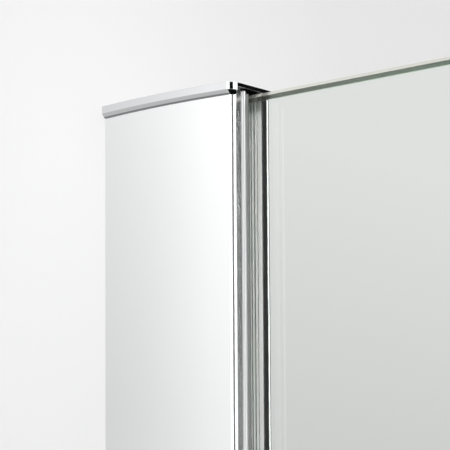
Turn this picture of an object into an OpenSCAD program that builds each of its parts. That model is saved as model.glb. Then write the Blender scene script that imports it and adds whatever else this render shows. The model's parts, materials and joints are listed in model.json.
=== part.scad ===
// Walk-in shower screen: a fixed glass pane that slides out of a bowed wall profile for width
// adjustment, with capped profile ends and a telescopic bar that braces the pane to the wall.
// Frame: X runs out from the wall along the pane, Y from the bowed front to the rear, Z up.
// The origin lies on the wall, in the middle plane of the pane, halfway between the wall screws.

/* [Screen] */
// Height from the floor to the top of the cap
screen_h = 2000; // [1850:10:2150]
// Distance from the top of the cap down to the pane's top edge
glass_drop = 2.25; // [1.8:0.05:6]
// Width adjustment: how far the pane slides out of the wall profile
adjust_l = 20; // [10:1:20]

/* [Glass] */
// Width of the pane
glass_w = 960; // [860:10:1200]
// Thickness of the pane
glass_t = 8; // [6:1:10]
// Leg of the ground bevel along each edge of the pane
glass_bevel = 0.9; // [0.5:0.1:1.5]
// Height of the pane's lower edge above the floor
glass_floor_gap = 14; // [12:1:20]
// Depth of the pane in its slot
glass_bite = 15.4; // [12:0.2:16]

/* [Wall profile] */
// Width of the bowed face, from the wall to the outer corner
face_w = 45; // [43:1:60]
// Rise of the bow in the middle of the face
face_bow = 1.4; // [0.5:0.1:3]
// Radius of the outer corner
corner_r = 1.5; // [1:0.1:2]
// Thickness of the bowed face
face_t = 1.4; // [1:0.1:1.8]
// Thickness of the return at the mouth
return_t = 1.5; // [1.2:0.1:2]
// Depth of the closed chamber and the face together, at the ends of the bow
chamber_d = 2.5; // [2.4:0.1:4]
// Thickness of the guide wall behind the chamber
guide_t = 1.2; // [1:0.1:2]
// Thickness of the rear wall
rear_t = 1.2; // [1:0.1:2]
// Thickness of the web that lies on the wall
web_t = 2; // [1.5:0.1:3]
// Radius of a wall screw hole
wall_hole_r = 3; // [2.5:0.1:3.5]
// Distance from each end of the profile to its nearest wall screw hole
wall_hole_end = 100; // [60:5:200]
// Distance between the two middle wall screw holes
wall_hole_mid = 600; // [400:10:800]

/* [Glass profile] */
// Length of the profile along the pane's width
carrier_l = 32; // [30:0.5:34]
// Projection of its lips past the wall profile at rest
carrier_out = 0.4; // [0.2:0.1:1]
// Thickness of the front lip
carrier_front_t = 1.6; // [1.2:0.1:2]
// Thickness of the rear lip
carrier_rear_t = 1.2; // [1:0.1:2]
// Thickness of the web behind the pane's edge
carrier_web_t = 1.6; // [1.2:0.1:2]
// Thickness of a setting block between the pane's edge and the web
block_t = 5; // [4.5:0.1:6]
// Height of a setting block
block_h = 60; // [40:5:100]
// Width of the rib that the locking screws bite into
rib_w = 8; // [7:0.5:9]
// Depth of that rib inside the rear lip
rib_d = 2.8; // [2:0.1:3.5]
// Clearance between the glass profile and each guide
slide_gap = 0.2; // [0.1:0.05:0.3]
// Gap between the glass profile and each cap
carrier_end_gap = 0.5; // [0.4:0.1:1]

/* [Gaskets] */
// Thickness of the front gasket between lip and pane
front_gasket_t = 1.2; // [1:0.1:1.6]
// Depth of the front gasket in the slot
front_gasket_l = 8; // [5:0.5:10]
// Recess of the front gasket behind the noses of the lips
front_gasket_in = 0.4; // [0.2:0.1:1]
// Thickness of the rear gasket between lip and pane
rear_gasket_t = 1.6; // [1.4:0.1:2]
// Depth of the rear gasket in the slot
rear_gasket_l = 4; // [2:0.5:5]
// Width of the rear gasket's head over the lip
rear_head_d = 2; // [1.9:0.1:2.4]
// Projection of the rear gasket's head past the lip
rear_head_l = 0.5; // [0.4:0.1:1.2]

/* [Caps] */
// Thickness of the top cap's plate
cap_plate_t = 1.2; // [1:0.1:2]
// Height of the top cap's skirt below the plate
cap_skirt_h = 2.1; // [1:0.1:4]
// Height of the slope at the foot of the skirt
cap_slope_h = 1.3; // [0.3:0.1:2]
// Overhang of the top cap over the bowed face
cap_front = 1.4; // [1:0.1:2]
// Overhang of the top cap past the mouth
cap_end = 0.9; // [0.6:0.1:1.5]
// Overhang of the top cap over the rear wall
cap_rear = 0.6; // [0.2:0.1:1]
// Radius of the top cap's outer corner
cap_corner_r = 2.6; // [2.2:0.1:3]
// Gap between the skirt and the face
cap_gap = 0.1; // [0.05:0.05:0.2]
// Height of the plugs that hold both caps in the wall profile
plug_h = 10; // [6:1:20]
// Thickness of the plug in the chamber
plug_t = 1.6; // [1:0.1:1.7]
// Width of the plug in the chamber
chamber_plug_w = 25; // [15:1:28]
// Width of the plug in the channel
channel_plug_w = 8; // [4:0.5:10]
// Clearance round a plug
plug_gap = 0.2; // [0.1:0.05:0.3]
// Thickness of the bottom cap's plate
foot_t = 3; // [2:0.5:5]

/* [Locking screws] */
// Radius of a locking screw's shank
lock_r = 2; // [1.5:0.1:2.2]
// Radius of its head
lock_head_r = 3.8; // [3:0.1:4]
// Height of its head
lock_head_h = 2.4; // [2:0.1:3]
// Side clearance of the shank in its slot
lock_slot_gap = 0.25; // [0.2:0.05:0.4]
// Radius of its washer
washer_r = 5; // [4.2:0.1:6]
// Thickness of its washer
washer_t = 0.8; // [0.5:0.1:1.2]
// Gap between the washer and the rear wall
washer_gap = 0.05; // [0.05:0.05:0.2]
// Distance from each end of the profile to its nearest locking screw
lock_hole_end = 180; // [120:10:300]
// Outer radius of a screw cover
cover_r = 6.2; // [6:0.1:8]
// Height of a screw cover over the washer's face
cover_h = 4; // [3.6:0.1:6]
// Wall of a screw cover
cover_t = 1; // [0.8:0.1:1]
// Clearance of a screw cover on the rim of its washer
cover_gap = 0.1; // [0.05:0.05:0.2]
// Depth of the hexagon socket in each screw
socket_d = 1.5; // [1:0.1:1.8]

/* [Bottom seal] */
// Thickness of the seal's clear walls
seal_t = 0.9; // [0.7:0.1:1.2]
// Height of the legs that grip the pane
seal_leg_h = 14; // [10:1:20]
// Gap between the wall profile and the near end of the seal
seal_start = 3; // [1:0.5:10]
// Thickness of each of the two wiper blades
blade_t = 0.8; // [0.6:0.1:1]
// Distance from the pane's middle plane to each blade
blade_offset = 2.5; // [1:0.5:3]

/* [Glass clamp] */
// Distance from the wall to the clamp's hinge pin
clamp_x = 680; // [500:10:760]
// Width of the clamp along the pane
clamp_w = 32; // [26:1:40]
// Thickness of its front cheek
clamp_front_t = 5; // [4:0.5:8]
// Thickness of its rear cheek, which holds the set screw
clamp_rear_t = 7; // [6:0.5:10]
// Height of the bridge over the pane
clamp_bridge_h = 6; // [4:0.5:10]
// Depth of the clamp's slot below the pane's top edge
clamp_grip = 24; // [20:1:30]
// Thickness of each clamp pad
pad_t = 1.5; // [1:0.1:2]
// Thickness of the pressure plate
plate_t = 1.2; // [1:0.1:2]
// Gap between the pressure plate and the clamp's bridge
plate_gap = 2.5; // [2:0.1:4]
// Space left for the set screw to travel
clamp_slack = 1; // [0.5:0.1:2]
// Depth of the set screw's end below the face of the rear cheek
screw_recess = 1; // [0.5:0.1:2]
// Radius of the set screw
set_screw_r = 3; // [2.5:0.1:4]
// Distance from the pane's top edge down to the bar's axis
bar_drop = 12; // [10:0.5:14]

/* [Brace bar] */
// Distance from the wall to the hinge pin at the wall
wall_pin_x = 28; // [24:1:36]
// Angle between the bar and the pane
bar_angle = 45; // [40:1:50]
// Outer radius of the inner tube
inner_r = 8; // [7:0.5:8]
// Outer radius of the outer tube
outer_r = 9.5; // [9.5:0.5:11]
// Wall of both tubes
tube_t = 1; // [0.8:0.1:1]
// Length of the inner tube
inner_l = 480; // [400:10:560]
// Length of the inner tube inside the outer one at rest
tube_overlap = 110; // [80:5:150]
// Radial clearance of a sliding tube
tube_gap = 0.05; // [0.03:0.01:0.1]
// Outer radius of the locking collar
collar_r = 12; // [11.5:0.5:14]
// Length of the locking collar
collar_l = 24; // [20:1:30]
// Depth of the collar's seat over the outer tube
collar_seat = 12; // [8:1:14]
// Length of the glide's shank inside the inner tube
glide_l = 14; // [10:1:20]
// Length of the glide's head, which runs in the outer tube
glide_head_l = 4; // [3:0.5:6]
// Radius of a grub screw
grub_r = 2.5; // [2:0.1:2.8]
// Length of a grub screw
grub_l = 5; // [4:0.5:5.5]
// Length of the collar's grub screw, which ends inside the collar's wall
collar_grub_l = 3.2; // [3:0.1:3.4]

/* [Hinges of the bar] */
// Radius of a hinge pin
pin_r = 3; // [2.5:0.1:3.5]
// Radius of a hinge pin's head
pin_head_r = 4.5; // [4:0.1:5.5]
// Height of a hinge pin's head
pin_head_h = 1.5; // [1:0.1:2]
// Radial clearance of the wall hinge
pin_gap = 0.05; // [0.02:0.01:0.1]
// Radial play of the eye on the clamp's pin
eye_play = 0.15; // [0.12:0.01:0.2]
// Thickness of a hinge ear
ear_t = 5; // [4:0.5:6]
// Outer radius of a hinge ear and of an eye
ear_r = 7.5; // [7:0.1:8]
// Thickness of an eye
eye_t = 8; // [7:0.5:9]
// Width of the neck between an eye and its tube
neck_w = 12; // [9:0.5:13]
// Gap between an eye and each ear
eye_gap = 0.1; // [0.05:0.05:0.2]
// Distance from a hinge pin to the bar's end fitting
eye_l = 14; // [12:0.5:18]
// Length of an end fitting's flange
fitting_l = 4; // [3:0.5:6]
// Length of an end fitting's spigot in its tube
spigot_l = 18; // [14:1:24]
// Distance from the clamp's rear cheek to its hinge pin
clamp_pin_out = 9; // [8.5:0.5:12]
// Radius of the wall flange
flange_r = 20; // [18:0.5:28]
// Thickness of the wall flange
flange_t = 14; // [12:0.5:16]
// Radius of the base disc under the flange
base_r = 15; // [13:0.5:16]
// Thickness of the base disc
base_t = 6; // [5:0.5:8]
// Radial clearance of the flange on its base disc
base_gap = 0.1; // [0.05:0.05:0.2]
// Radius of the screw hole in the base disc
base_hole_r = 2.75; // [2.5:0.05:3]
// Radius of that hole's countersink
base_sink_r = 5.5; // [5:0.1:6]

/* [Hidden] */
// facets of round things, and of the face's long bow
fine = 96;
bow_fine = 256;
// how far a cutting solid runs past what it cuts, and a joined solid into its neighbour
cut = 1;
// radius of a hexagon socket as a share of its screw's radius
socket_ratio = 0.6;

// heights, with the floor below an origin in the middle of the wall profile
floor_z = -(foot_t + screen_h - cap_plate_t) / 2;
profile_z = floor_z + foot_t;
profile_top = floor_z + screen_h - cap_plate_t;
profile_l = profile_top - profile_z;
carrier_z = profile_z + carrier_end_gap;
carrier_h = profile_l - 2 * carrier_end_gap;
glass_top = floor_z + screen_h - glass_drop;
glass_z = floor_z + glass_floor_gap;
glass_h = glass_top - glass_z;
wall_hole_top = profile_top - wall_hole_end;

// depths across the pane
pane_y = glass_t / 2;
lip_front_y = -pane_y - front_gasket_t;
carrier_front_y = lip_front_y - carrier_front_t;
guide_y = carrier_front_y - slide_gap;
chamber_y = guide_y - guide_t;
front_y = chamber_y - chamber_d;
lip_rear_y = pane_y + rear_gasket_t;
carrier_rear_y = lip_rear_y + carrier_rear_t;
rear_in_y = carrier_rear_y + slide_gap;
rear_y = rear_in_y + rear_t;

// bow of the face: a circle through both ends of the face
bow_r = (face_w * face_w / 4 + face_bow * face_bow) / (2 * face_bow);
bow_x = face_w / 2;
bow_y = front_y - face_bow + bow_r;

// glass profile along the pane
mouth_x = face_w + carrier_out;
carrier_x = mouth_x - carrier_l;
glass_x = mouth_x - glass_bite;
slot_x = glass_x - block_t;
rib_x = carrier_x + (slot_x - carrier_web_t - carrier_x - rib_w) / 2;
lock_x = rib_x + rib_w / 2;
lock_z = [profile_z + lock_hole_end, 0, profile_top - lock_hole_end];
washer_y = rear_y + washer_gap;
head_y = washer_y + washer_t;
seal_x = face_w + seal_start;

// bar between the pin on the clamp and the pin at the wall
clamp_rear_in = pane_y + pad_t + plate_t + clamp_slack;
clamp_rear_y = clamp_rear_in + clamp_rear_t;
clamp_front_y = -pane_y - pad_t - clamp_front_t;
bar_z = glass_top - bar_drop;
clamp_pin_y = clamp_rear_y + clamp_pin_out;
bar_l = (clamp_x - wall_pin_x) / cos(bar_angle);
wall_pin_y = clamp_pin_y + bar_l * sin(bar_angle);
tube_start = eye_l + fitting_l;
outer_start = tube_start + inner_l - tube_overlap;
outer_l = bar_l - tube_start - outer_start;
outer_in_r = outer_r - tube_t;
inner_in_r = inner_r - tube_t;
fork_h = eye_t + 2 * eye_gap + 2 * ear_t;

// A prism along X with its section drawn in Y and Z
module along_x(x, l) {
    translate([x, 0, 0]) rotate([90, 0, 90]) linear_extrude(l) children();
}

// A prism along Z
module along_z(z, l) {
    translate([0, 0, z]) linear_extrude(l) children();
}

// A rod along Y from the lower to the higher y
module rod_y(x, y, z, l, r, sides = fine) {
    translate([x, y, z]) rotate([-90, 0, 0]) cylinder(h = l, r = r, $fn = sides);
}

// Plan outline of the wall profile, grown over the face, past the mouth and over the rear
module profile_outline(front = 0, end = 0, rear = 0, r = corner_r) {
    out_r = bow_r + front;
    corner_x = face_w + end - r;
    corner_y = bow_y - sqrt(pow(out_r - r, 2) - pow(corner_x - bow_x, 2));
    reach = out_r / (out_r - r);
    meet = [bow_x + (corner_x - bow_x) * reach, bow_y + (corner_y - bow_y) * reach];
    low = bow_y - out_r - cut;
    intersection() {
        translate([bow_x, bow_y]) circle(r = out_r, $fn = bow_fine);
        translate([0, low]) square([meet.x, rear_y + rear - low]);
    }
    polygon([meet, [corner_x, corner_y], [face_w + end, corner_y],
             [face_w + end, rear_y + rear], [meet.x, rear_y + rear]]);
    translate([corner_x, corner_y]) circle(r = r, $fn = fine);
}

// Plan of the closed chamber behind the bowed face
module chamber_outline() {
    intersection() {
        translate([bow_x, bow_y]) circle(r = bow_r - face_t, $fn = bow_fine);
        translate([web_t, front_y - face_bow])
            square([face_w - return_t - web_t, chamber_y - front_y + face_bow]);
    }
}

module wall_profile() {
    color("gainsboro")
    difference() {
        along_z(profile_z, profile_l) difference() {
            profile_outline();
            chamber_outline();
            translate([web_t, guide_y]) square([face_w, rear_in_y - guide_y]);
        }
        for (z = [-wall_hole_top, -wall_hole_mid / 2, wall_hole_mid / 2, wall_hole_top])
            translate([-cut, 0, z]) rotate([0, 90, 0])
                cylinder(h = web_t + 2 * cut, r = wall_hole_r, $fn = fine);
        for (z = lock_z) adjust_slot(z);
    }
}

// Slot in the rear wall that a locking screw moves along
module adjust_slot(z) {
    slot_r = lock_r + lock_slot_gap;
    for (x = [lock_x, lock_x + adjust_l])
        rod_y(x, rear_in_y - cut, z, rear_t + 2 * cut, slot_r);
    translate([lock_x, rear_in_y - cut, z - slot_r]) cube([adjust_l, rear_t + 2 * cut, 2 * slot_r]);
}

// Plugs of a cap: one for the closed chamber and one for the channel beside the web
module cap_plugs(z) {
    translate([bow_x - chamber_plug_w / 2, chamber_y - plug_gap - plug_t, z])
        cube([chamber_plug_w, plug_t, plug_h]);
    translate([web_t + plug_gap, guide_y + plug_gap, z])
        cube([channel_plug_w, rear_in_y - guide_y - 2 * plug_gap, plug_h]);
}

module bottom_cap() {
    color("lightgray") {
        along_z(floor_z, foot_t) profile_outline();
        cap_plugs(profile_z);
    }
}

// Section of the top cap's skirt: radius outwards, height downwards from the plate
module skirt_section(out_r, in_r) {
    polygon([[in_r, 0], [out_r, 0], [out_r, -(cap_skirt_h - cap_slope_h)],
             [out_r - cap_front, -cap_skirt_h], [in_r, -cap_skirt_h]]);
}

module top_cap() {
    out_r = bow_r + cap_front;
    corner_x = face_w + cap_end - cap_corner_r;
    corner_y = bow_y - sqrt(pow(out_r - cap_corner_r, 2) - pow(corner_x - bow_x, 2));
    turn = atan2(corner_y - bow_y, corner_x - bow_x);
    start = atan2(-out_r, -bow_x);
    color("silver") {
        along_z(profile_top, cap_plate_t) profile_outline(cap_front, cap_end, cap_rear, cap_corner_r);
        cap_plugs(profile_top - plug_h);
        difference() {
            union() {
                intersection() {
                    translate([bow_x, bow_y, profile_top])
                        rotate_extrude(angle = turn - start + 1, start = start - 1, $fn = bow_fine)
                            skirt_section(out_r, bow_r - face_t);
                    translate([0, front_y - face_bow - cap_front - cut, profile_top - cap_skirt_h - cut])
                        cube([corner_x, 2 * face_w, cap_skirt_h + cut]);
                }
                translate([corner_x, corner_y, profile_top])
                    rotate_extrude(angle = 90, start = -90, $fn = fine)
                        skirt_section(cap_corner_r, 0);
            }
            along_z(profile_top - cap_skirt_h - cut, cap_skirt_h + cut)
                profile_outline(cap_gap, cap_gap, cut, corner_r + cap_gap);
        }
    }
}

module glass_profile() {
    color("whitesmoke")
    difference() {
        along_z(carrier_z, carrier_h) {
            lip_outline(carrier_front_y, carrier_front_t);
            lip_outline(lip_rear_y, carrier_rear_t);
            translate([slot_x - carrier_web_t, lip_front_y])
                square([carrier_web_t, lip_rear_y - lip_front_y]);
            translate([rib_x, lip_rear_y - rib_d]) square([rib_w, rib_d]);
        }
        for (z = lock_z)
            rod_y(lock_x, lip_rear_y - rib_d - cut, z, rib_d + carrier_rear_t + 2 * cut, lock_r);
    }
}

// Plan of a lip with a round nose at the mouth
module lip_outline(y, t) {
    translate([carrier_x, y]) square([carrier_l - t / 2, t]);
    translate([mouth_x - t / 2, y + t / 2]) circle(r = t / 2, $fn = fine);
}

// The pane's outline across its thickness, bevelled on the named ends
module bevelled(l, far_only) {
    b = glass_bevel;
    near = far_only ? 0 : b;
    polygon([[0, -pane_y + near], [near, -pane_y], [l - b, -pane_y], [l, -pane_y + b],
             [l, pane_y - b], [l - b, pane_y], [near, pane_y], [0, pane_y - near]]);
}

module glass_panel() {
    color([0.80, 0.88, 0.85, 0.45])
    intersection() {
        along_z(glass_z, glass_h) translate([glass_x, 0]) bevelled(glass_w, true);
        translate([glass_x - cut, 0, glass_z]) rotate([90, 0, 90]) linear_extrude(glass_w + 2 * cut)
            rotate(90) mirror([0, 1]) bevelled(glass_h, false);
    }
}

module front_gasket() {
    color("gray")
    along_z(carrier_z, glass_top - carrier_z)
        translate([mouth_x - front_gasket_in - front_gasket_l, lip_front_y])
            square([front_gasket_l, front_gasket_t]);
}

module rear_gasket() {
    color([0.12, 0.12, 0.12])
    along_z(carrier_z, glass_top - carrier_z) {
        translate([mouth_x - rear_gasket_l, pane_y]) square([rear_gasket_l, rear_gasket_t]);
        translate([mouth_x, pane_y]) square([rear_head_l, rear_head_d]);
    }
}

module setting_blocks() {
    color("dimgray")
    for (z = lock_z)
        translate([slot_x, -pane_y, z - block_h / 2]) cube([block_t, glass_t, block_h]);
}

module locking_screws() {
    shank_l = rib_d + carrier_rear_t + slide_gap + rear_t + washer_gap + washer_t;
    color("silver")
    for (z = lock_z) difference() {
        union() {
            rod_y(lock_x, head_y - shank_l, z, shank_l, lock_r);
            rod_y(lock_x, head_y, z, lock_head_h, lock_head_r);
        }
        rod_y(lock_x, head_y + lock_head_h - socket_d, z, socket_d + cut, socket_ratio * lock_r, 6);
    }
}

module locking_washers() {
    color("silver")
    for (z = lock_z) difference() {
        rod_y(lock_x, washer_y, z, washer_t, washer_r);
        rod_y(lock_x, washer_y - cut, z, washer_t + 2 * cut, lock_r);
    }
}

// Cover that snaps over a locking screw's head and rim of its washer
module screw_cover(z) {
    color("silver")
    difference() {
        rod_y(lock_x, head_y - washer_t / 2, z, cover_h + washer_t / 2, cover_r);
        rod_y(lock_x, head_y - washer_t, z, washer_t + cover_h - cover_t, washer_r + cover_gap);
    }
}

module screw_cover_lower() { screw_cover(lock_z[0]); }
module screw_cover_middle() { screw_cover(lock_z[1]); }
module screw_cover_upper() { screw_cover(lock_z[2]); }

module bottom_seal() {
    far_x = glass_x + glass_w;
    web_z = glass_z - seal_t;
    color([0.85, 0.9, 0.92, 0.6])
    along_x(seal_x, far_x - seal_x) {
        translate([-pane_y - seal_t, web_z]) square([glass_t + 2 * seal_t, seal_t]);
        for (y = [-pane_y - seal_t, pane_y])
            translate([y, web_z]) square([seal_t, seal_leg_h + seal_t]);
        for (y = [-blade_offset, blade_offset])
            translate([y - blade_t / 2, floor_z]) square([blade_t, web_z - floor_z + seal_t / 2]);
    }
}

// The two ears of a hinge, centred on its pin, with their roots reaching back along -X
module ears(root_l) {
    for (z = [eye_t / 2 + eye_gap, -eye_t / 2 - eye_gap - ear_t]) translate([0, 0, z]) {
        cylinder(h = ear_t, r = ear_r, $fn = fine);
        translate([-root_l, -ear_r, 0]) cube([root_l, 2 * ear_r, ear_t]);
    }
}

module clamp_body() {
    top = glass_top + clamp_bridge_h;
    low = glass_top - clamp_grip;
    color("silver")
    difference() {
        union() {
            translate([clamp_x - clamp_w / 2, clamp_front_y, low])
                cube([clamp_w, clamp_rear_y - clamp_front_y, top - low]);
            translate([clamp_x, clamp_pin_y, bar_z]) rotate(90) ears(clamp_pin_out + cut);
        }
        translate([clamp_x - clamp_w / 2 - cut, -pane_y - pad_t, low - cut])
            cube([clamp_w + 2 * cut, clamp_rear_in + pane_y + pad_t, clamp_grip + cut + pad_t]);
        rod_y(clamp_x, clamp_rear_in - cut, bar_z, clamp_rear_t + 2 * cut, set_screw_r);
        translate([clamp_x, clamp_pin_y, bar_z - fork_h]) cylinder(h = 2 * fork_h, r = pin_r, $fn = fine);
    }
}

// The front pad folds over the pane's top edge, and the rear pad lies under the pressure plate
module clamp_pads() {
    low = glass_top - clamp_grip;
    color("dimgray") {
        translate([clamp_x - clamp_w / 2, -pane_y - pad_t, low]) cube([clamp_w, pad_t, clamp_grip + pad_t]);
        translate([clamp_x - clamp_w / 2, -pane_y, glass_top]) cube([clamp_w, glass_t, pad_t]);
        translate([clamp_x - clamp_w / 2, pane_y, low])
            cube([clamp_w, pad_t, clamp_grip + pad_t - plate_gap]);
    }
}

module clamp_pressure_plate() {
    low = glass_top - clamp_grip;
    color("darkgray")
    translate([clamp_x - clamp_w / 2, pane_y + pad_t, low])
        cube([clamp_w, plate_t, clamp_grip + pad_t - plate_gap]);
}

module clamp_set_screw() {
    tip_y = pane_y + pad_t + plate_t;
    screw_l = clamp_slack + clamp_rear_t - screw_recess;
    color("dimgray")
    difference() {
        rod_y(clamp_x, tip_y, bar_z, screw_l, set_screw_r);
        rod_y(clamp_x, tip_y + screw_l - socket_d, bar_z, socket_d + cut, socket_ratio * set_screw_r, 6);
    }
}

// Pin through both ears of a hinge, with a head on the upper one
module hinge_pin() {
    color("silver") {
        translate([0, 0, -fork_h / 2]) cylinder(h = fork_h, r = pin_r, $fn = fine);
        translate([0, 0, fork_h / 2]) cylinder(h = pin_head_h, r = pin_head_r, $fn = fine);
    }
}

module clamp_hinge_pin() { translate([clamp_x, clamp_pin_y, bar_z]) hinge_pin(); }
module wall_hinge_pin() { translate([wall_pin_x, wall_pin_y, bar_z]) hinge_pin(); }

// Places its children on the bar: X runs from the clamp's pin to the wall's pin
module on_bar(s = 0) {
    translate([clamp_x, clamp_pin_y, bar_z]) rotate(180 - bar_angle) translate([s, 0, 0]) children();
}

// A ring or rod along the bar
module bar_ring(s, l, r, hole = 0) {
    on_bar(s) rotate([0, 90, 0]) difference() {
        cylinder(h = l, r = r, $fn = fine);
        if (hole > 0) translate([0, 0, -cut]) cylinder(h = l + 2 * cut, r = hole, $fn = fine);
    }
}

// End fitting of a tube: the eye, a flange as wide as the tube, and the spigot inside it
module end_fitting(tube_r, hole_r) {
    spigot_r = tube_r - tube_t;
    difference() {
        union() {
            translate([0, 0, -eye_t / 2]) cylinder(h = eye_t, r = ear_r, $fn = fine);
            translate([0, -neck_w / 2, -eye_t / 2]) cube([eye_l + cut, neck_w, eye_t]);
            translate([eye_l, 0, 0]) rotate([0, 90, 0]) cylinder(h = fitting_l, r = tube_r, $fn = fine);
            translate([eye_l, 0, 0]) rotate([0, 90, 0])
                cylinder(h = fitting_l + spigot_l, r = spigot_r, $fn = fine);
        }
        translate([0, 0, -eye_t]) cylinder(h = 2 * eye_t, r = hole_r, $fn = fine);
        fitting_screw_hole(tube_r);
    }
}

// Hole for the grub screw that fixes a tube on its end fitting, from below
module fitting_screw_hole(tube_r) {
    translate([tube_start + spigot_l / 2, 0, -tube_r - cut])
        cylinder(h = grub_l + cut, r = grub_r, $fn = fine);
}

// Headless screw along Z with its socket in the lower end
module grub_screw(l) {
    difference() {
        cylinder(h = l, r = grub_r, $fn = fine);
        translate([0, 0, -cut]) cylinder(h = cut + socket_d, r = socket_ratio * grub_r, $fn = 6);
    }
}

module bar_glass_eye() {
    color("silver") on_bar() end_fitting(inner_r, pin_r + eye_play);
}

module glass_eye_screw() {
    color("dimgray") on_bar(tube_start + spigot_l / 2) translate([0, 0, -inner_r]) grub_screw(grub_l);
}

module bar_inner_tube() {
    color("gainsboro")
    difference() {
        bar_ring(tube_start, inner_l, inner_r, inner_in_r);
        on_bar() fitting_screw_hole(inner_r);
    }
}

// Plastic glide on the hidden end of the inner tube, running in the outer tube
module bar_glide() {
    color("ivory") {
        bar_ring(tube_start + inner_l, glide_head_l, outer_in_r - tube_gap);
        bar_ring(tube_start + inner_l - glide_l, glide_l, inner_in_r);
    }
}

module bar_outer_tube() {
    color("gainsboro")
    difference() {
        bar_ring(outer_start, outer_l, outer_r, outer_in_r);
        on_bar(bar_l) rotate(180) fitting_screw_hole(outer_r);
    }
}

module bar_collar() {
    color("silver")
    difference() {
        bar_ring(outer_start + collar_seat - collar_l, collar_l, collar_r, inner_r + tube_gap);
        bar_ring(outer_start, collar_seat + cut, outer_r);
        on_bar(outer_start - (collar_l - collar_seat) / 2) translate([0, 0, -collar_r - cut])
            cylinder(h = collar_r, r = grub_r, $fn = fine);
    }
}

module collar_screw() {
    color("dimgray")
    on_bar(outer_start - (collar_l - collar_seat) / 2)
        translate([0, 0, -inner_r - tube_gap - collar_grub_l]) grub_screw(collar_grub_l);
}

module bar_wall_eye() {
    color("silver") on_bar(bar_l) rotate(180) end_fitting(outer_r, pin_r + pin_gap);
}

module wall_eye_screw() {
    color("dimgray")
    on_bar(bar_l) rotate(180) translate([tube_start + spigot_l / 2, 0, -outer_r]) grub_screw(grub_l);
}

module wall_flange() {
    color("silver")
    translate([0, wall_pin_y, bar_z]) difference() {
        union() {
            rotate([0, 90, 0]) cylinder(h = flange_t, r = flange_r, $fn = fine);
            translate([wall_pin_x, 0, 0]) ears(wall_pin_x - flange_t + cut);
        }
        translate([-cut, 0, 0]) rotate([0, 90, 0])
            cylinder(h = base_t + base_gap + cut, r = base_r + base_gap, $fn = fine);
        translate([wall_pin_x, 0, -fork_h]) cylinder(h = 2 * fork_h, r = pin_r, $fn = fine);
        translate([base_t / 2, 0, -flange_r - cut])
            cylinder(h = flange_r - base_r + cut, r = grub_r, $fn = fine);
    }
}

module flange_base() {
    color("darkgray")
    translate([0, wall_pin_y, bar_z]) rotate([0, 90, 0]) difference() {
        cylinder(h = base_t, r = base_r, $fn = fine);
        translate([0, 0, -cut]) cylinder(h = base_t + 2 * cut, r = base_hole_r, $fn = fine);
        translate([0, 0, base_t - (base_sink_r - base_hole_r)])
            cylinder(h = base_sink_r - base_hole_r, r1 = base_hole_r, r2 = base_sink_r, $fn = fine);
    }
}

module flange_screw() {
    color("dimgray")
    translate([base_t / 2, wall_pin_y, bar_z - flange_r]) grub_screw(flange_r - base_r);
}

wall_profile();
bottom_cap();
top_cap();
glass_profile();
glass_panel();
front_gasket();
rear_gasket();
setting_blocks();
locking_screws();
locking_washers();
screw_cover_lower();
screw_cover_middle();
screw_cover_upper();
bottom_seal();
clamp_body();
clamp_pads();
clamp_pressure_plate();
clamp_set_screw();
clamp_hinge_pin();
bar_glass_eye();
glass_eye_screw();
bar_inner_tube();
bar_glide();
bar_outer_tube();
bar_collar();
collar_screw();
bar_wall_eye();
wall_eye_screw();
wall_hinge_pin();
wall_flange();
flange_base();
flange_screw();
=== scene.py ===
# Walk-in shower screen: fine shapes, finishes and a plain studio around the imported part.
import json
import math

import bpy
from mathutils import Matrix, Vector


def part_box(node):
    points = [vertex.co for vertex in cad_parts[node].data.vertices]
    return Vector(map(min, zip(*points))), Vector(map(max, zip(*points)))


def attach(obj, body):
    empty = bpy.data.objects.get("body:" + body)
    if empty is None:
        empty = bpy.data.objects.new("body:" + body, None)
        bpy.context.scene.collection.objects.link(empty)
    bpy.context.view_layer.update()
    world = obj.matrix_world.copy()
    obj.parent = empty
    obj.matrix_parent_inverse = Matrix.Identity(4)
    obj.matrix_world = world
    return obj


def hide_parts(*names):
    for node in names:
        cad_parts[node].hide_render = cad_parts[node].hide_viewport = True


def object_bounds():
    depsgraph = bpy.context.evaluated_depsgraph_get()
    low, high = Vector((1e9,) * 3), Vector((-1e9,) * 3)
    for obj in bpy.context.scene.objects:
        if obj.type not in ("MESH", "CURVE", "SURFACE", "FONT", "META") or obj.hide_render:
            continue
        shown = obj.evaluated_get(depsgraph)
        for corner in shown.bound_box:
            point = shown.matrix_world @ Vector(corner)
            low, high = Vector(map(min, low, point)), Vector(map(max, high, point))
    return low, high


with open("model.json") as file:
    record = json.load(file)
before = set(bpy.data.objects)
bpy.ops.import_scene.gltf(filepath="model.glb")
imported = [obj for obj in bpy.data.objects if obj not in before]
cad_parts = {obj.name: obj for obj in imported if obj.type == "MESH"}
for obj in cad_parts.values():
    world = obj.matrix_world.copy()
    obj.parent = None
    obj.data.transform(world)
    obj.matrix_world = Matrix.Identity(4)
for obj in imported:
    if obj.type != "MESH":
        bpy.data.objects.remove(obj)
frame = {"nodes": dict(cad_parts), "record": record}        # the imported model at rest, in metres
cadLow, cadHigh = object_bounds()
record = frame["record"]
bodyOf = {node: body for body, nodes in record["behaviour"]["bodies"].items() for node in nodes}
slotOf = {entry["node"]: entry["material_slot"] for entry in record["subparts"]}
mm = 0.001
tiny = 0.01 * mm        # two places closer than this are the same
mergeGap = 0.1 * tiny        # corners closer than this are merged
flatAngle = math.radians(0.1)        # faces that differ in direction by less than this become one
print("frame loaded with", len(frame["nodes"]), "nodes")


# Selecting and editing

def clearSelection():
    if bpy.context.mode != "OBJECT":
        bpy.ops.object.mode_set(mode="OBJECT")
    bpy.ops.object.select_all(action="DESELECT")


def chooseOnly(piece):
    clearSelection()
    piece.select_set(True)
    bpy.context.view_layer.objects.active = piece


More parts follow.
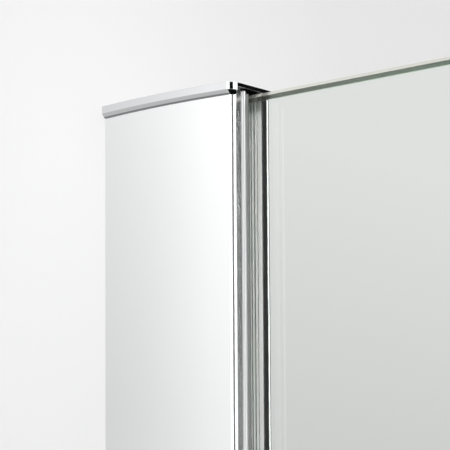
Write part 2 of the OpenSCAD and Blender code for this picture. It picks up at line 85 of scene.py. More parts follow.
def openEdit(piece, kind="FACE"):
    chooseOnly(piece)
    bpy.context.tool_settings.mesh_select_mode = tuple(kind == k for k in ("VERT", "EDGE", "FACE"))
    bpy.ops.object.mode_set(mode="EDIT")


def wipeMarks(piece):
    clearSelection()
    mesh = piece.data
    for marks in (mesh.vertices, mesh.edges, mesh.polygons):
        marks.foreach_set("select", [False] * len(marks))
    return mesh


def pickFaces(piece, rule):        # rule(centre, normal)
    for face in wipeMarks(piece).polygons:
        face.select = bool(rule(face.center, face.normal))
    openEdit(piece, "FACE")


def pickEdges(piece, rule):        # rule(one end, other end)
    mesh = wipeMarks(piece)
    for edge in mesh.edges:
        edge.select = bool(rule(*(mesh.vertices[i].co for i in edge.vertices)))
    openEdit(piece, "EDGE")


def near(a, b):
    return abs(a - b) < tiny


def edgesAt(x=None, y=None, z=None, upright=False):        # rule for edges with both ends there
    places = [(i, place) for i, place in enumerate((x, y, z)) if place is not None]

    def rule(a, b):
        fits = all(near(a[i], place) and near(b[i], place) for i, place in places)
        return fits and not (upright and near(a.z, b.z))

    return rule


def settle(piece):        # place, turn and scale go into the mesh
    chooseOnly(piece)
    bpy.ops.object.transform_apply(location=True, rotation=True, scale=True)
    return piece


def place(piece, spot=(0, 0, 0), turn=(0, 0, 0)):        # turn in degrees
    piece.rotation_euler = [math.radians(angle) for angle in turn]
    piece.location = spot
    return settle(piece)


def tidyMesh(piece):
    openEdit(piece)
    bpy.ops.mesh.select_all(action="SELECT")
    bpy.ops.mesh.remove_doubles(threshold=mergeGap)
    bpy.ops.mesh.dissolve_limited(angle_limit=flatAngle)
    bpy.ops.mesh.normals_make_consistent(inside=False)
    clearSelection()
    return piece


# Primitives and the shapes drawn from them

def addBlock(low, high):
    low, high = Vector(low), Vector(high)
    clearSelection()
    bpy.ops.mesh.primitive_cube_add(size=1, location=(low + high) / 2)
    block = bpy.context.object
    block.scale = high - low
    return settle(block)


def addRod(radius, start, end, sides=48):
    start, end = Vector(start), Vector(end)
    clearSelection()
    bpy.ops.mesh.primitive_cylinder_add(
        vertices=sides, radius=radius, depth=(end - start).length, location=(start + end) / 2,
        rotation=(end - start).to_track_quat("Z", "X").to_euler())
    return settle(bpy.context.object)


def addRoundEnd(radius, start, end, reach, sides=48):        # a rod drawn out sideways: a slot or a lug
    rod = addRod(radius, start, end, sides)
    away = Vector(reach)
    for corner in rod.data.vertices:
        if (corner.co - Vector(start)).dot(away) > tiny * away.length:
            corner.co += away
    return rod


def addPlane(name, wide, tall, spot, turn=(0, 0, 0)):
    clearSelection()
    bpy.ops.mesh.primitive_plane_add(size=1, location=spot, rotation=turn)
    plane = bpy.context.object
    plane.name = name
    plane.scale = (wide, tall, 1)
    return settle(plane)


def drawSection(xs, ys, solid):        # flat cells between the lines, with only the solid ones kept
    middle = ((xs[0] + xs[-1]) / 2, (ys[0] + ys[-1]) / 2, 0)
    piece = addPlane("section", xs[-1] - xs[0], ys[-1] - ys[0], middle)
    openEdit(piece)
    for line in xs[1:-1]:
        bpy.ops.mesh.select_all(action="SELECT")
        bpy.ops.mesh.bisect(plane_co=(line, 0, 0), plane_no=(1, 0, 0))
    for line in ys[1:-1]:
        bpy.ops.mesh.select_all(action="SELECT")
        bpy.ops.mesh.bisect(plane_co=(0, line, 0), plane_no=(0, 1, 0))
    pickFaces(piece, lambda centre, normal: not solid(centre.x, centre.y))
    bpy.ops.mesh.delete(type="FACE")
    clearSelection()
    return piece


def drawOut(piece, low, high):        # a section becomes a bar from one height to the other
    openEdit(piece)
    bpy.ops.mesh.select_all(action="SELECT")
    bpy.ops.transform.translate(value=(0, 0, low))
    bpy.ops.mesh.extrude_region_move(TRANSFORM_OT_translate={"value": (0, 0, high - low)})
    return tidyMesh(piece)


def turnShape(steps, ring=False, sides=64):        # steps are (radius, height); a ring closes on itself
    radius, height = steps[0]
    clearSelection()
    bpy.ops.mesh.primitive_circle_add(
        vertices=sides, radius=radius, location=(0, 0, height), fill_type="NOTHING" if ring else "NGON")
    piece = settle(bpy.context.object)
    openEdit(piece, "EDGE" if ring else "FACE")
    bpy.ops.mesh.select_all(action="SELECT")
    for wide, high in steps[1:] + (steps[:1] if ring else []):
        bpy.ops.mesh.extrude_region_move(TRANSFORM_OT_translate={"value": (0, 0, high - height)})
        bpy.ops.transform.resize(value=(wide / radius, wide / radius, 1), center_override=(0, 0, high))
        radius, height = wide, high
    bpy.ops.mesh.select_all(action="SELECT")
    bpy.ops.mesh.remove_doubles(threshold=mergeGap)
    bpy.ops.mesh.normals_make_consistent(inside=False)
    clearSelection()
    return piece


def combine(piece, others, operation):
    chooseOnly(others[0])
    for other in others[1:]:
        other.select_set(True)
    if len(others) > 1:
        bpy.ops.object.join()
    chooseOnly(piece)
    bpy.ops.object.modifier_add(type="BOOLEAN")
    change = piece.modifiers[-1]
    change.operation = operation
    change.solver = "EXACT"
    change.object = others[0]
    bpy.ops.object.modifier_apply(modifier=change.name)
    bpy.data.objects.remove(others[0])
    return tidyMesh(piece)


def cutAway(piece, *others):
    return combine(piece, others, "DIFFERENCE")


def fuse(piece, *others):
    for other in others:
        combine(piece, [other], "UNION")
    return piece


def gather(pieces):        # several solids of one node
    chooseOnly(pieces[0])
    for piece in pieces[1:]:
        piece.select_set(True)
    bpy.ops.object.join()
    return pieces[0]


def copyOf(piece, shift):
    chooseOnly(piece)
    bpy.ops.object.duplicate()
    twin = bpy.context.object
    twin.location = shift
    return settle(twin)


def roundEdges(piece, rule, radius, steps):        # edges picked by rule(one end, other end)
    pickEdges(piece, rule)
    bpy.ops.mesh.bevel(offset=radius, segments=steps, affect="EDGES", profile=0.5)
    clearSelection()
    return piece


def softenEdges(piece, width, steps=2, angle=30):
    chooseOnly(piece)
    bpy.ops.object.shade_smooth()
    bpy.ops.object.modifier_add(type="BEVEL")
    soft = piece.modifiers[-1]
    soft.width = width
    soft.segments = steps
    soft.limit_method = "ANGLE"
    soft.angle_limit = math.radians(angle)
    soft.use_clamp_overlap = False
    soft.harden_normals = True
    bpy.ops.object.modifier_apply(modifier=soft.name)
    return piece


def finishPiece(piece, node, edge=0, oneFinish=True):        # edge is the width of its soft edges
    if edge:
        softenEdges(piece, edge)
    words = node.split("_")
    piece.name = piece.data.name = words[0] + "".join(word.capitalize() for word in words[1:])
    if oneFinish:
        piece.data.materials.clear()
        piece.data.materials.append(finishes[slotOf[node]])
    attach(piece, bodyOf[node])
    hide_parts(node)
    print("made", piece.name, "with", len(piece.data.polygons), "faces")
    return piece


# Finishes

def startFinish(name, **values):
    material = bpy.data.materials.new(name)
    material.use_nodes = True
    tree = material.node_tree
    shader = tree.nodes["Principled BSDF"]
    for key, value in values.items():
        shader.inputs[key.replace("_", " ")].default_value = value
    return material, tree, shader


def addNode(tree, kind, inputs, **settings):
    node = tree.nodes.new(kind)
    for key, value in settings.items():
        setattr(node, key, value)
    for key, value in inputs.items():
        if isinstance(value, bpy.types.NodeSocket):
            tree.links.new(value, node.inputs[key])
        else:
            node.inputs[key].default_value = value
    return node


noiseRough = 0.55
noiseRange = (0.3, 0.7)        # nearly all of a noise lies between these values


def addNoise(tree, size, stretch=(1, 1, 1), detail=3):        # size of the marks in metres
    spot = addNode(tree, "ShaderNodeTexCoord", {})
    mapping = addNode(tree, "ShaderNodeMapping", {
        "Vector": spot.outputs["Object"], "Scale": [1 / (size * s) for s in stretch]})
    noise = addNode(tree, "ShaderNodeTexNoise", {
        "Vector": mapping.outputs["Vector"], "Scale": 1, "Detail": detail, "Roughness": noiseRough})
    return noise.outputs["Fac"]


def rampOver(tree, value, start, end, first, last):
    ramp = addNode(tree, "ShaderNodeMapRange", {
        "Value": value, "From Min": start, "From Max": end, "To Min": first, "To Max": last})
    return ramp.outputs["Result"]


def tint(tree, shader, noise, dark, light):        # colour from a noise
    ramp = addNode(tree, "ShaderNodeValToRGB", {"Fac": noise})
    for stop, position, colour in zip(ramp.color_ramp.elements, noiseRange, (dark, light)):
        stop.position = position
        stop.color = (*colour, 1)
    tree.links.new(ramp.outputs["Color"], shader.inputs["Base Color"])


def roughen(tree, shader, noise, roughness, depth, strength=1.0):        # and bump, from a noise
    tree.links.new(rampOver(tree, noise, *noiseRange, *roughness), shader.inputs["Roughness"])
    bump = addNode(tree, "ShaderNodeBump", {"Height": noise, "Distance": depth, "Strength": strength})
    tree.links.new(bump.outputs["Normal"], shader.inputs["Normal"])


def mixOver(tree, factor, first, second):        # factor goes from the first shader to the second
    mix = addNode(tree, "ShaderNodeMixShader", {0: factor})
    tree.links.new(first.outputs[0], mix.inputs[1])
    tree.links.new(second.outputs[0], mix.inputs[2])
    return mix


def lightPath(tree):
    return addNode(tree, "ShaderNodeLightPath", {}).outputs


def showAs(tree, shader, output="Material Output"):
    tree.links.new(shader.outputs[0], tree.nodes[output].inputs["Surface"])


profileFinish = {
    "light": (0.97, 0.975, 0.98),
    "dark": (0.95, 0.955, 0.96),
    "roughness": (0.24, 0.265),
    "lineSize": 0.35 * mm,        # width of the faint draw lines
    "lineLong": 900,        # length of a line over its width
    "lineDeep": 0.0001 * mm,
    "cloudSize": 40 * mm,        # size of the slow change in colour
    "cloudLong": 3,
    "bump": 0.2,
    "shadedInnerLight": (0.77, 0.775, 0.78),        # the profile that slides inside: rougher, and darker as painted shade
    "innerDark": (0.73, 0.735, 0.74),
    "innerRoughness": (0.38, 0.42),
}


def drawnAluminium(name, dark, light, roughness):
    material, tree, shader = startFinish(name, Metallic=1.0)
    size = profileFinish
    lines = addNoise(tree, size["lineSize"], (1, 1, size["lineLong"]))
    tint(tree, shader, addNoise(tree, size["cloudSize"], (1, 1, size["cloudLong"])), dark, light)
    roughen(tree, shader, lines, roughness, size["lineDeep"], size["bump"])
    return material


chromeFinish = {
    "colour": (0.76, 0.77, 0.78),
    "slope": (0.55, 0.555, 0.56),        # on the cap's foot: painted shade, darker chrome for its downward slope
    "dull": (0.24, 0.24, 0.25),        # painted shade on its last slope and under its plate
    "roughness": (0.03, 0.075),
    "waveSize": 6 * mm,
    "waveDeep": 0.004 * mm,
    "bump": 0.5,
}


def chrome(name, stretch, colour=chromeFinish["colour"]):
    material, tree, shader = startFinish(name, Metallic=1.0, Base_Color=(*colour, 1))
    size = chromeFinish
    haze = addNoise(tree, size["waveSize"], stretch, 4)
    roughen(tree, shader, haze, size["roughness"], size["waveDeep"], size["bump"])
    return material


steelFinish = {
    "dark": (0.50, 0.50, 0.49),
    "light": (0.66, 0.66, 0.65),
    "roughness": (0.26, 0.42),
    "grain": 0.25 * mm,
    "grainLong": 12,
    "deep": 0.01 * mm,
}


def steelScrews():
    size = steelFinish
    material, tree, shader = startFinish("steel screws", Metallic=1.0)
    grain = addNoise(tree, size["grain"], (1, 1, size["grainLong"]), 4)
    tint(tree, shader, grain, size["dark"], size["light"])
    roughen(tree, shader, grain, size["roughness"], size["deep"])
    return material


glassFinish = {
    "tint": (0.966, 0.978, 0.963),
    "bend": 1.52,        # index of refraction
    "depthColour": (0.60, 0.85, 0.72),
    "depthDensity": 6.0,
    "shadow": (0.99, 1.0, 0.99),        # what each face of the pane lets through to a shadow
}
groundEdge = {
    "colour": (0.90, 0.88, 0.76),
    "clearness": 0.88,
    "roughness": (0.14, 0.22),
    "grain": 0.2 * mm,
    "deep": 0.01 * mm,
}


def clearGlass():
    material, tree, shader = startFinish(
        "clear glass", Base_Color=(*glassFinish["tint"], 1), Roughness=0.0, IOR=glassFinish["bend"],
        Transmission_Weight=1.0)
    inside = addNode(tree, "ShaderNodeVolumeAbsorption", {
        "Color": (*glassFinish["depthColour"], 1), "Density": glassFinish["depthDensity"]})
    tree.links.new(inside.outputs["Volume"], tree.nodes["Material Output"].inputs["Volume"])
    letThrough = addNode(tree, "ShaderNodeBsdfTransparent", {"Color": (*glassFinish["shadow"], 1)})
    showAs(tree, mixOver(tree, lightPath(tree)["Is Shadow Ray"], shader, letThrough))
    return material


def groundGlass():        # the pane's ground edges: the same glass, dulled
    material, tree, shader = startFinish(
        "ground glass", Base_Color=(*groundEdge["colour"], 1), Metallic=0.0, IOR=glassFinish["bend"],
        Transmission_Weight=groundEdge["clearness"])
    grain = addNoise(tree, groundEdge["grain"], (1, 1, 1), 5)
    roughen(tree, shader, grain, groundEdge["roughness"], groundEdge["deep"])
    return material


sealFinish = {
    "colour": (0.93, 0.96, 0.965),
    "bend": 1.45,
    "clearness": 0.92,
    "roughness": (0.10, 0.22),
    "waveSize": 3 * mm,
    "waveLong": 8,
    "waveDeep": 0.02 * mm,
}


def clearSeal():
    size = sealFinish
    material, tree, shader = startFinish(
        "clear seal", Base_Color=(*size["colour"], 1), IOR=size["bend"],
        Transmission_Weight=size["clearness"])
    haze = addNoise(tree, size["waveSize"], (size["waveLong"], 1, 1))
    roughen(tree, shader, haze, size["roughness"], size["waveDeep"])
    return material


rubberFinish = {
    "shine": 0.15,
    "grain": 0.3 * mm,
    "roughness": (0.42, 0.60),
    "deep": 0.02 * mm,
}
plasticFinish = {
    "grain": 0.4 * mm,
    "cloudSize": 15 * mm,
    "roughness": (0.42, 0.55),
    "deep": 0.015 * mm,
}
plainColours = {        # the darker and the lighter of each
    "black rubber": ((0.006, 0.006, 0.006), (0.014, 0.014, 0.014)),
    "grey rubber": ((0.20, 0.205, 0.20), (0.26, 0.265, 0.26)),
    "grey plastic": ((0.36, 0.37, 0.38), (0.42, 0.43, 0.44)),
    "white plastic": ((0.74, 0.74, 0.70), (0.80, 0.80, 0.76)),
    "pale seal": ((0.95, 0.92, 0.92), (0.98, 0.95, 0.95)),
}


def rubber(name):
    material, tree, shader = startFinish(name, Specular_IOR_Level=rubberFinish["shine"])
    grain = addNoise(tree, rubberFinish["grain"], (1, 1, 1), 5)
    tint(tree, shader, grain, *plainColours[name])
    roughen(tree, shader, grain, rubberFinish["roughness"], rubberFinish["deep"])
    return material


def mouldedPlastic(name):
    material, tree, shader = startFinish(name)
    tint(tree, shader, addNoise(tree, plasticFinish["cloudSize"]), *plainColours[name])
    grain = addNoise(tree, plasticFinish["grain"], (1, 1, 1), 4)
    roughen(tree, shader, grain, plasticFinish["roughness"], plasticFinish["deep"])
    return material


finishes = {
    "bright_profile": drawnAluminium("bright profile", profileFinish["dark"], profileFinish["light"],
                                     profileFinish["roughness"]),
    "chrome_trim": chrome("chrome trim", (1, 1, 1)),
    "chrome_tube": chrome("chrome tube", (2, 2, 1)),
    "steel_screws": steelScrews(),
    "clear_glass": clearGlass(),
    "clear_seal": clearSeal(),
    "black_rubber": rubber("black rubber"),
    "grey_rubber": rubber("grey rubber"),
    "grey_plastic": mouldedPlastic("grey plastic"),
    "white_plastic": mouldedPlastic("white plastic"),
}
paleSeal = mouldedPlastic("pale seal")
# painted shade: darker copies of the chrome for the cap's foot slope, its last slope and the plate's
# underside
shadedSlopeChrome = chrome("shaded slope chrome", (1, 1, 1), chromeFinish["slope"])
paintedShadeChrome = chrome("painted shade chrome", (1, 1, 1), chromeFinish["dull"])
# painted shade: a darker copy of the drawn aluminium for the glass profile set in the channel
shadedInnerProfile = drawnAluminium("inner profile", profileFinish["innerDark"], profileFinish["shadedInnerLight"],
                              profileFinish["innerRoughness"])
print("finishes ready:", len(finishes))


# Wall profile: bowed face, closed chamber, open channel, screw holes and slots

wallProfile = {
    "bow": 1.4 * mm,
    "bowSteps": 24,
    "bowClear": 0.3 * mm,        # no step is nearer than this to the chamber's sides
    "cornerRadius": 1.5 * mm,
    "faceWall": 1.4 * mm,
    "returnWall": 1.5 * mm,
    "chamberDepth": 2.5 * mm,
    "guideWall": 1.2 * mm,
    "rearWall": 1.2 * mm,
    "webWall": 2 * mm,
    "returnRound": 0.6 * mm,        # on the return's edge towards the channel
    "rearRound": 0.55 * mm,
    "screwHoles": (-897.9 * mm, -300 * mm, 300 * mm, 897.9 * mm),
    "screwHoleRadius": 3 * mm,
    "edge": 0.18 * mm,
}
lockScrews = {
    "heights": (-817.9 * mm, 0, 817.9 * mm),
    "travel": 20 * mm,
    "slotRadius": 2.25 * mm,
    "shankRadius": 2 * mm,
}
lowWall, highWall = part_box("wall_profile")
washerLow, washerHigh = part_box("locking_washers")
washerRadius = (washerHigh.x - washerLow.x) / 2
lockX = (washerLow.x + washerHigh.x) / 2
faceFront = lowWall.y + wallProfile["bow"]
faceWide = highWall.x
bowRadius = (faceWide ** 2 / 4 + wallProfile["bow"] ** 2) / (2 * wallProfile["bow"])
bowMiddle = Vector((faceWide / 2, lowWall.y + bowRadius))
guideFront = faceFront + wallProfile["chamberDepth"]
channelFront = guideFront + wallProfile["guideWall"]
channelRear = highWall.y - wallProfile["rearWall"]


def bowY(x, radius):
    return bowMiddle.y - math.sqrt(radius ** 2 - (x - bowMiddle.x) ** 2)


def makeWallProfile():
    size = wallProfile
    innerFront = faceFront + size["faceWall"] / 2
    inside = (size["webWall"], faceWide - size["returnWall"])
    steps = [faceWide * i / size["bowSteps"] for i in range(size["bowSteps"] + 1)]
    steps = [x for x in steps if all(abs(x - line) > size["bowClear"] for line in inside)]
    xs = sorted(steps + list(inside))
    ys = [faceFront, innerFront, guideFront, channelFront, channelRear, highWall.y]

    def solid(x, y):
        inChamber = inside[0] < x < inside[1] and innerFront < y < guideFront
        inChannel = x > inside[0] and channelFront < y < channelRear
        return not (inChamber or inChannel)

    piece = drawSection(xs, ys, solid)
    for corner in piece.data.vertices:
        if near(corner.co.y, faceFront):
            corner.co.y = bowY(corner.co.x, bowRadius)
        elif near(corner.co.y, innerFront):
            corner.co.y = bowY(corner.co.x, bowRadius - size["faceWall"])
    drawOut(piece, lowWall.z, highWall.z)
    roundEdges(piece, edgesAt(x=faceWide, y=faceFront), size["cornerRadius"], 6)
    for line, radius in ((channelFront, size["returnRound"]), (channelRear, size["rearRound"]),
                         (highWall.y, size["rearRound"])):
        roundEdges(piece, edgesAt(x=faceWide, y=line), radius, 5)
    holes = [addRod(size["screwHoleRadius"], (-size["webWall"], 0, z), (2 * size["webWall"], 0, z))
             for z in size["screwHoles"]]
    slots = [addRoundEnd(lockScrews["slotRadius"], (lockX, channelRear - size["rearWall"], z),
                         (lockX, highWall.y + size["rearWall"], z), (lockScrews["travel"], 0, 0))
             for z in lockScrews["heights"]]
    cutAway(piece, *holes, *slots)
    return finishPiece(piece, "wall_profile", size["edge"])


def atScrewHeights(first):        # the same shape at each locking screw's height, as one piece
    return gather([first] + [copyOf(first, (0, 0, z)) for z in lockScrews["heights"] if z])


# Glass profile: two lips with round noses, a web and the rib for the locking screws

glassProfile = {
    "frontLip": 1.6 * mm,
    "rearLip": 1.2 * mm,
    "web": 1.6 * mm,
    "ribWide": 8 * mm,
    "ribDeep": 2.8 * mm,
    "nose": 0.49,        # radius of a lip's nose as a share of its thickness
    "edge": 0.15 * mm,
}
lowCarrier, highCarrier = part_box("glass_profile")
lowBlock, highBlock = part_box("setting_blocks")


def makeGlassProfile():
    size = glassProfile
    slotX = lowBlock.x
    frontIn = lowCarrier.y + size["frontLip"]
    rearIn = highCarrier.y - size["rearLip"]
    ribLow = lockX - size["ribWide"] / 2
    ribHigh = lockX + size["ribWide"] / 2
    xs = [lowCarrier.x, ribLow, ribHigh, slotX - size["web"], slotX, highCarrier.x]
    ys = [lowCarrier.y, frontIn, rearIn - size["ribDeep"], rearIn, highCarrier.y]

    def solid(x, y):
        inLip = y < frontIn or y > rearIn
        inWeb = slotX - size["web"] < x < slotX
        inRib = ribLow < x < ribHigh and y > rearIn - size["ribDeep"]
        return inLip or inWeb or inRib

    piece = drawOut(drawSection(xs, ys, solid), lowCarrier.z, highCarrier.z)
    noses = edgesAt(x=highCarrier.x, upright=True)
    for low, high in ((lowCarrier.y, frontIn), (rearIn, highCarrier.y)):
        roundEdges(piece, lambda a, b: noses(a, b) and low - tiny < a.y < high + tiny,
                   size["nose"] * (high - low), 4)
    holes = [addRod(lockScrews["shankRadius"], (lockX, 0, z), (lockX, 2 * highCarrier.y, z))
             for z in lockScrews["heights"]]
    cutAway(piece, *holes)
    # the glass profile takes that darker painted-shade copy of the profile finish
    piece.data.materials.clear()
    piece.data.materials.append(shadedInnerProfile)
    return finishPiece(piece, "glass_profile", size["edge"], False)


# Pane with a ground bevel on its free edges

pane = {
    "bevel": 1.1 * mm,
    "edge": 0.12 * mm,
    "facing": 0.99,        # a face points along an axis if its normal has more than this of it
}
lowPane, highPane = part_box("glass_panel")


def makePane():
    size = pane
    heldEdge = edgesAt(x=lowPane.x)
    piece = addBlock(lowPane, highPane)
    roundEdges(piece, lambda a, b: near(a.y, b.y) and not heldEdge(a, b), size["bevel"], 1)
    softenEdges(piece, size["edge"], angle=20)
    finishPiece(piece, "glass_panel")
    piece.data.materials.append(groundGlass())
    for face in piece.data.polygons:
        clear = abs(face.normal.y) > size["facing"] or face.normal.x < -size["facing"]
        face.material_index = 0 if clear else 1
    return piece


# Gaskets on both sides of the pane; the rear one has a pale ribbed body and a black lip

gaskets = {
    "frontRound": 0.25 * mm,
    # middle and width of each groove
    "grooves": ((0.55 * mm, 0.40 * mm), (1.60 * mm, 0.45 * mm), (2.65 * mm, 0.25 * mm)),
    "ribDeep": 0.8 * mm,
    "skin": 0.35 * mm,        # pale skin of the head, on the pane
    "lip": 0.3 * mm,        # black end of that skin
    "headRound": 0.3 * mm,
    "edge": 0.06 * mm,
}


def makeFrontGasket():
    low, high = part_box("front_gasket")
    piece = addBlock(low, high)
    roundEdges(piece, edgesAt(x=high.x, upright=True), gaskets["frontRound"], 3)
    return finishPiece(piece, "front_gasket", gaskets["edge"])


def makeRearGasket():
    size = gaskets
    low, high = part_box("rear_gasket")
    mouthX = highCarrier.x
    lipX = high.x - size["lip"]
    lipY = highCarrier.y - glassProfile["rearLip"]
    gaps = [(low.x + middle - wide / 2, low.x + middle + wide / 2) for middle, wide in size["grooves"]]
    xs = [low.x] + [x for gap in gaps for x in gap] + [mouthX, lipX, high.x]
    ys = [low.y, low.y + size["skin"], low.y + size["ribDeep"], lipY, high.y]

    def inBody(x, y):
        inGroove = y < low.y + size["ribDeep"] and any(a < x < b for a, b in gaps)
        inSkin = mouthX < x < lipX and y < low.y + size["skin"]
        return inSkin or (x < mouthX and y < lipY and not inGroove)

    def inHead(x, y):
        return x > mouthX and not (x < lipX and y < low.y + size["skin"])

    body = drawOut(drawSection(xs, ys, inBody), low.z, high.z)
    lip = drawOut(drawSection(xs, ys, inHead), low.z, high.z)
    roundEdges(lip, edgesAt(x=high.x, upright=True), size["headRound"], 3)
    for part in (body, lip):
        softenEdges(part, size["edge"])
    body.data.materials.append(paleSeal)
    body.data.materials.append(finishes["grey_rubber"])
    for face in body.data.polygons:        # painted shade: grey rubber on the bottoms and sides of the grooves
        inGroove = any(a - tiny < face.center.x < b + tiny for a, b in gaps)
        face.material_index = 1 if inGroove and low.y + tiny < face.center.y < lipY - tiny else 0
    lip.data.materials.append(finishes["black_rubber"])
    return finishPiece(gather([body, lip]), "rear_gasket", oneFinish=False)


# Caps: the profile's outline grown, with two plugs; the top one has a skirt with a sloped foot

topCap = {
    "plate": 1.2 * mm,
    "skirt": 2.1 * mm,
    "slope": 1.3 * mm,
    "undercut": 0.4 * mm,        # height of the flat last part of that slope
    "undercutDeep": 0.6 * mm,
    "front": 1.4 * mm,        # overhang over the face
    "cornerRadius": 2.6 * mm,
    "gap": 0.1 * mm,
    "edge": 0.14 * mm,
    "slopeDown": -0.3,        # faces of the foot whose normal has less than this along Z are its slope
    "plateDown": -0.9,        # and faces at the plate's height are its underside
}
plugs = {
    "tall": 10 * mm,
    "deep": 1.6 * mm,
    "chamberWide": 25 * mm,
    "channelWide": 8 * mm,
    "gap": 0.2 * mm,
    "chamfer": 0.5 * mm,
}
bottomCap = {
    "edge": 0.3 * mm,
}


def addPlugs(low, high, freeEnd):
    half = plugs["chamberWide"] / 2
    rear = guideFront - plugs["gap"]
    inChamber = addBlock((bowMiddle.x - half, rear - plugs["deep"], low),
                         (bowMiddle.x + half, rear, high))
    nearX = wallProfile["webWall"] + plugs["gap"]
    inChannel = addBlock((nearX, channelFront + plugs["gap"], low),
                         (nearX + plugs["channelWide"], channelRear - plugs["gap"], high))
    for plug in (inChamber, inChannel):
        roundEdges(plug, edgesAt(z=freeEnd), plugs["chamfer"], 1)
    return inChamber, inChannel


def growOutline(front, endX, rearY, radius, low, high):        # the profile's plan, grown and drawn out
    steps = [endX * i / wallProfile["bowSteps"] for i in range(wallProfile["bowSteps"])]
    steps = [x for x in steps if x < endX - radius - tiny] + [endX]
    line = faceFront - front
    piece = drawSection(steps, [line, rearY], lambda x, y: True)
    for corner in piece.data.vertices:
        if near(corner.co.y, line):
            corner.co.y = bowY(corner.co.x, bowRadius + front)
    drawOut(piece, low, high)
    return roundEdges(piece, edgesAt(x=endX, y=bowY(endX, bowRadius + front)), radius, 10)


def ringOf(piece, height):        # corners at one height, in order round the outline's middle
    corners = [c for c in piece.data.vertices if near(c.co.z, height)]
    return sorted(corners, key=lambda c: math.atan2(c.co.y, c.co.x - bowMiddle.x))


def makeTopCap():
    size = topCap
    low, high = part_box("top_cap")
    plateZ = high.z - size["plate"]
    footZ = plateZ - size["skirt"]
    edgeZ = footZ + size["slope"]
    piece = growOutline(size["front"], high.x, high.y, size["cornerRadius"], edgeZ, high.z)
    innerX = faceWide + size["gap"]
    innerRadius = wallProfile["cornerRadius"] + size["gap"]
    lastZ = footZ + size["undercut"]
    for start, end, proud in ((edgeZ, lastZ, size["undercutDeep"]), (lastZ, footZ, 0)):
        pickFaces(piece, lambda centre, normal: near(centre.z, start))
        bpy.ops.mesh.extrude_region_move(TRANSFORM_OT_translate={"value": (0, 0, end - start)})
        clearSelection()
        footX = innerX + proud * (high.x - innerX) / size["front"]
        foot = growOutline(size["gap"] + proud, footX, high.y, innerRadius + proud, end, edgeZ)
        for corner, goal in zip(ringOf(piece, end), ringOf(foot, end)):
            corner.co.xy = goal.co.xy
        bpy.data.objects.remove(foot)
    inner = growOutline(size["gap"], innerX, high.y + size["front"], innerRadius,
                        footZ - size["front"], plateZ)
    cornerY = bowY(high.x - size["cornerRadius"], bowRadius + size["front"] - size["cornerRadius"])
    behind = addBlock((-size["front"], cornerY, footZ - size["front"]),
                      (high.x + size["front"], high.y + size["front"], plateZ))
    cutAway(piece, inner)
    cutAway(piece, behind)
    fuse(piece, *addPlugs(low.z, plateZ + size["gap"], low.z))
    softenEdges(piece, size["edge"], steps=3, angle=25)
    finishPiece(piece, "top_cap")
    piece.data.materials.append(shadedSlopeChrome)
    piece.data.materials.append(paintedShadeChrome)
    # painted shade: the foot's slope takes the darker slope chrome, its last part and the plate's underside
    # the darkest chrome
    for face in piece.data.polygons:
        inFoot = footZ < face.center.z < edgeZ and face.normal.z < size["slopeDown"]
        inLast = inFoot and face.center.z < lastZ
        underPlate = near(face.center.z, plateZ) and face.normal.z < size["plateDown"]
        face.material_index = 2 if inLast or underPlate else int(inFoot)
    return piece


def makeBottomCap():
    low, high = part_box("bottom_cap")
    plateZ = high.z - plugs["tall"]
    piece = growOutline(0, faceWide, high.y, wallProfile["cornerRadius"], low.z, plateZ)
    fuse(piece, *addPlugs(plateZ - topCap["gap"], high.z, high.z))
    return finishPiece(piece, "bottom_cap", bottomCap["edge"])


# Blocks under the pane's edge, each with grooves across its faces

settingBlock = {
    "grooves": 5,
    "grooveWide": 2 * mm,
    "grooveDeep": 0.6 * mm,
    "edge": 0.3 * mm,
}


def makeSettingBlocks():
    size = settingBlock
    tall = (highBlock.z - lowBlock.z) - 2 * lockScrews["heights"][2]
    first = addBlock((lowBlock.x, lowBlock.y, -tall / 2), (highBlock.x, highBlock.y, tall / 2))
    cutters = []
    for i in range(size["grooves"]):
        z = tall * ((i + 1) / (size["grooves"] + 1) - 0.5)
        for y in (lowBlock.y, highBlock.y):
            cutters.append(addBlock(
                (lowBlock.x - mm, y - size["grooveDeep"], z - size["grooveWide"] / 2),
                (highBlock.x + mm, y + size["grooveDeep"], z + size["grooveWide"] / 2)))
    cutAway(first, *cutters)
    return finishPiece(atScrewHeights(first), "setting_blocks", size["edge"])


# Screws, washers and the covers that snap over them

screws = {
    "pitch": 0.8 * mm,
    "threadDeep": 0.22 * mm,
    "tip": 0.5 * mm,
    "socketDeep": 1.5 * mm,
    "socketShare": 0.6,        # socket radius over screw radius
    "headRound": 0.7 * mm,
    "edge": 0.06 * mm,
    "washerEdge": 0.15 * mm,
}
screwCover = {
    "tall": 4 * mm,        # above the washer's face
    "wall": 1 * mm,
    "rimGap": 0.1 * mm,
    "round": 0.9 * mm,
    "edge": 0.12 * mm,
}


def threadSteps(radius, low, high):        # rings for a turned screw, from its tip up to the plain end
    steps = [(radius - screws["tip"], low), (radius, low + screws["tip"])]
    height = low + screws["tip"] + screws["pitch"] / 2
    while height + screws["pitch"] < high:
        steps += [(radius - screws["threadDeep"], height), (radius, height + screws["pitch"] / 2)]
        height += screws["pitch"]
    return steps


def roundOver(radius, low, high, fillet, count=4):        # rings of a rounded rim
    turns = [math.pi / 2 * i / count for i in range(count + 1)]
    rim = [(radius - fillet * (1 - math.cos(t)), high - fillet * (1 - math.sin(t))) for t in turns]
    return [(radius, low)] + rim


def addSocket(piece, radius, top):        # six-sided
    low, high = (0, 0, top - screws["socketDeep"]), (0, 0, top + mm)
    return cutAway(piece, addRod(screws["socketShare"] * radius, low, high, 6))


def makeLockingScrews():
    low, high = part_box("locking_screws")
    radius = lockScrews["shankRadius"]
    headTall = high.y - washerHigh.y
    headRadius = (high.x - low.x) / 2
    shank = washerHigh.y - low.y
    steps = threadSteps(radius, -shank, 0) + [(radius, 0)]
    steps += roundOver(headRadius, 0, headTall, screws["headRound"])
    first = addSocket(turnShape(steps, sides=48), radius, headTall)
    place(first, (lockX, washerHigh.y, 0), (-90, 0, 0))
    return finishPiece(atScrewHeights(first), "locking_screws", screws["edge"])


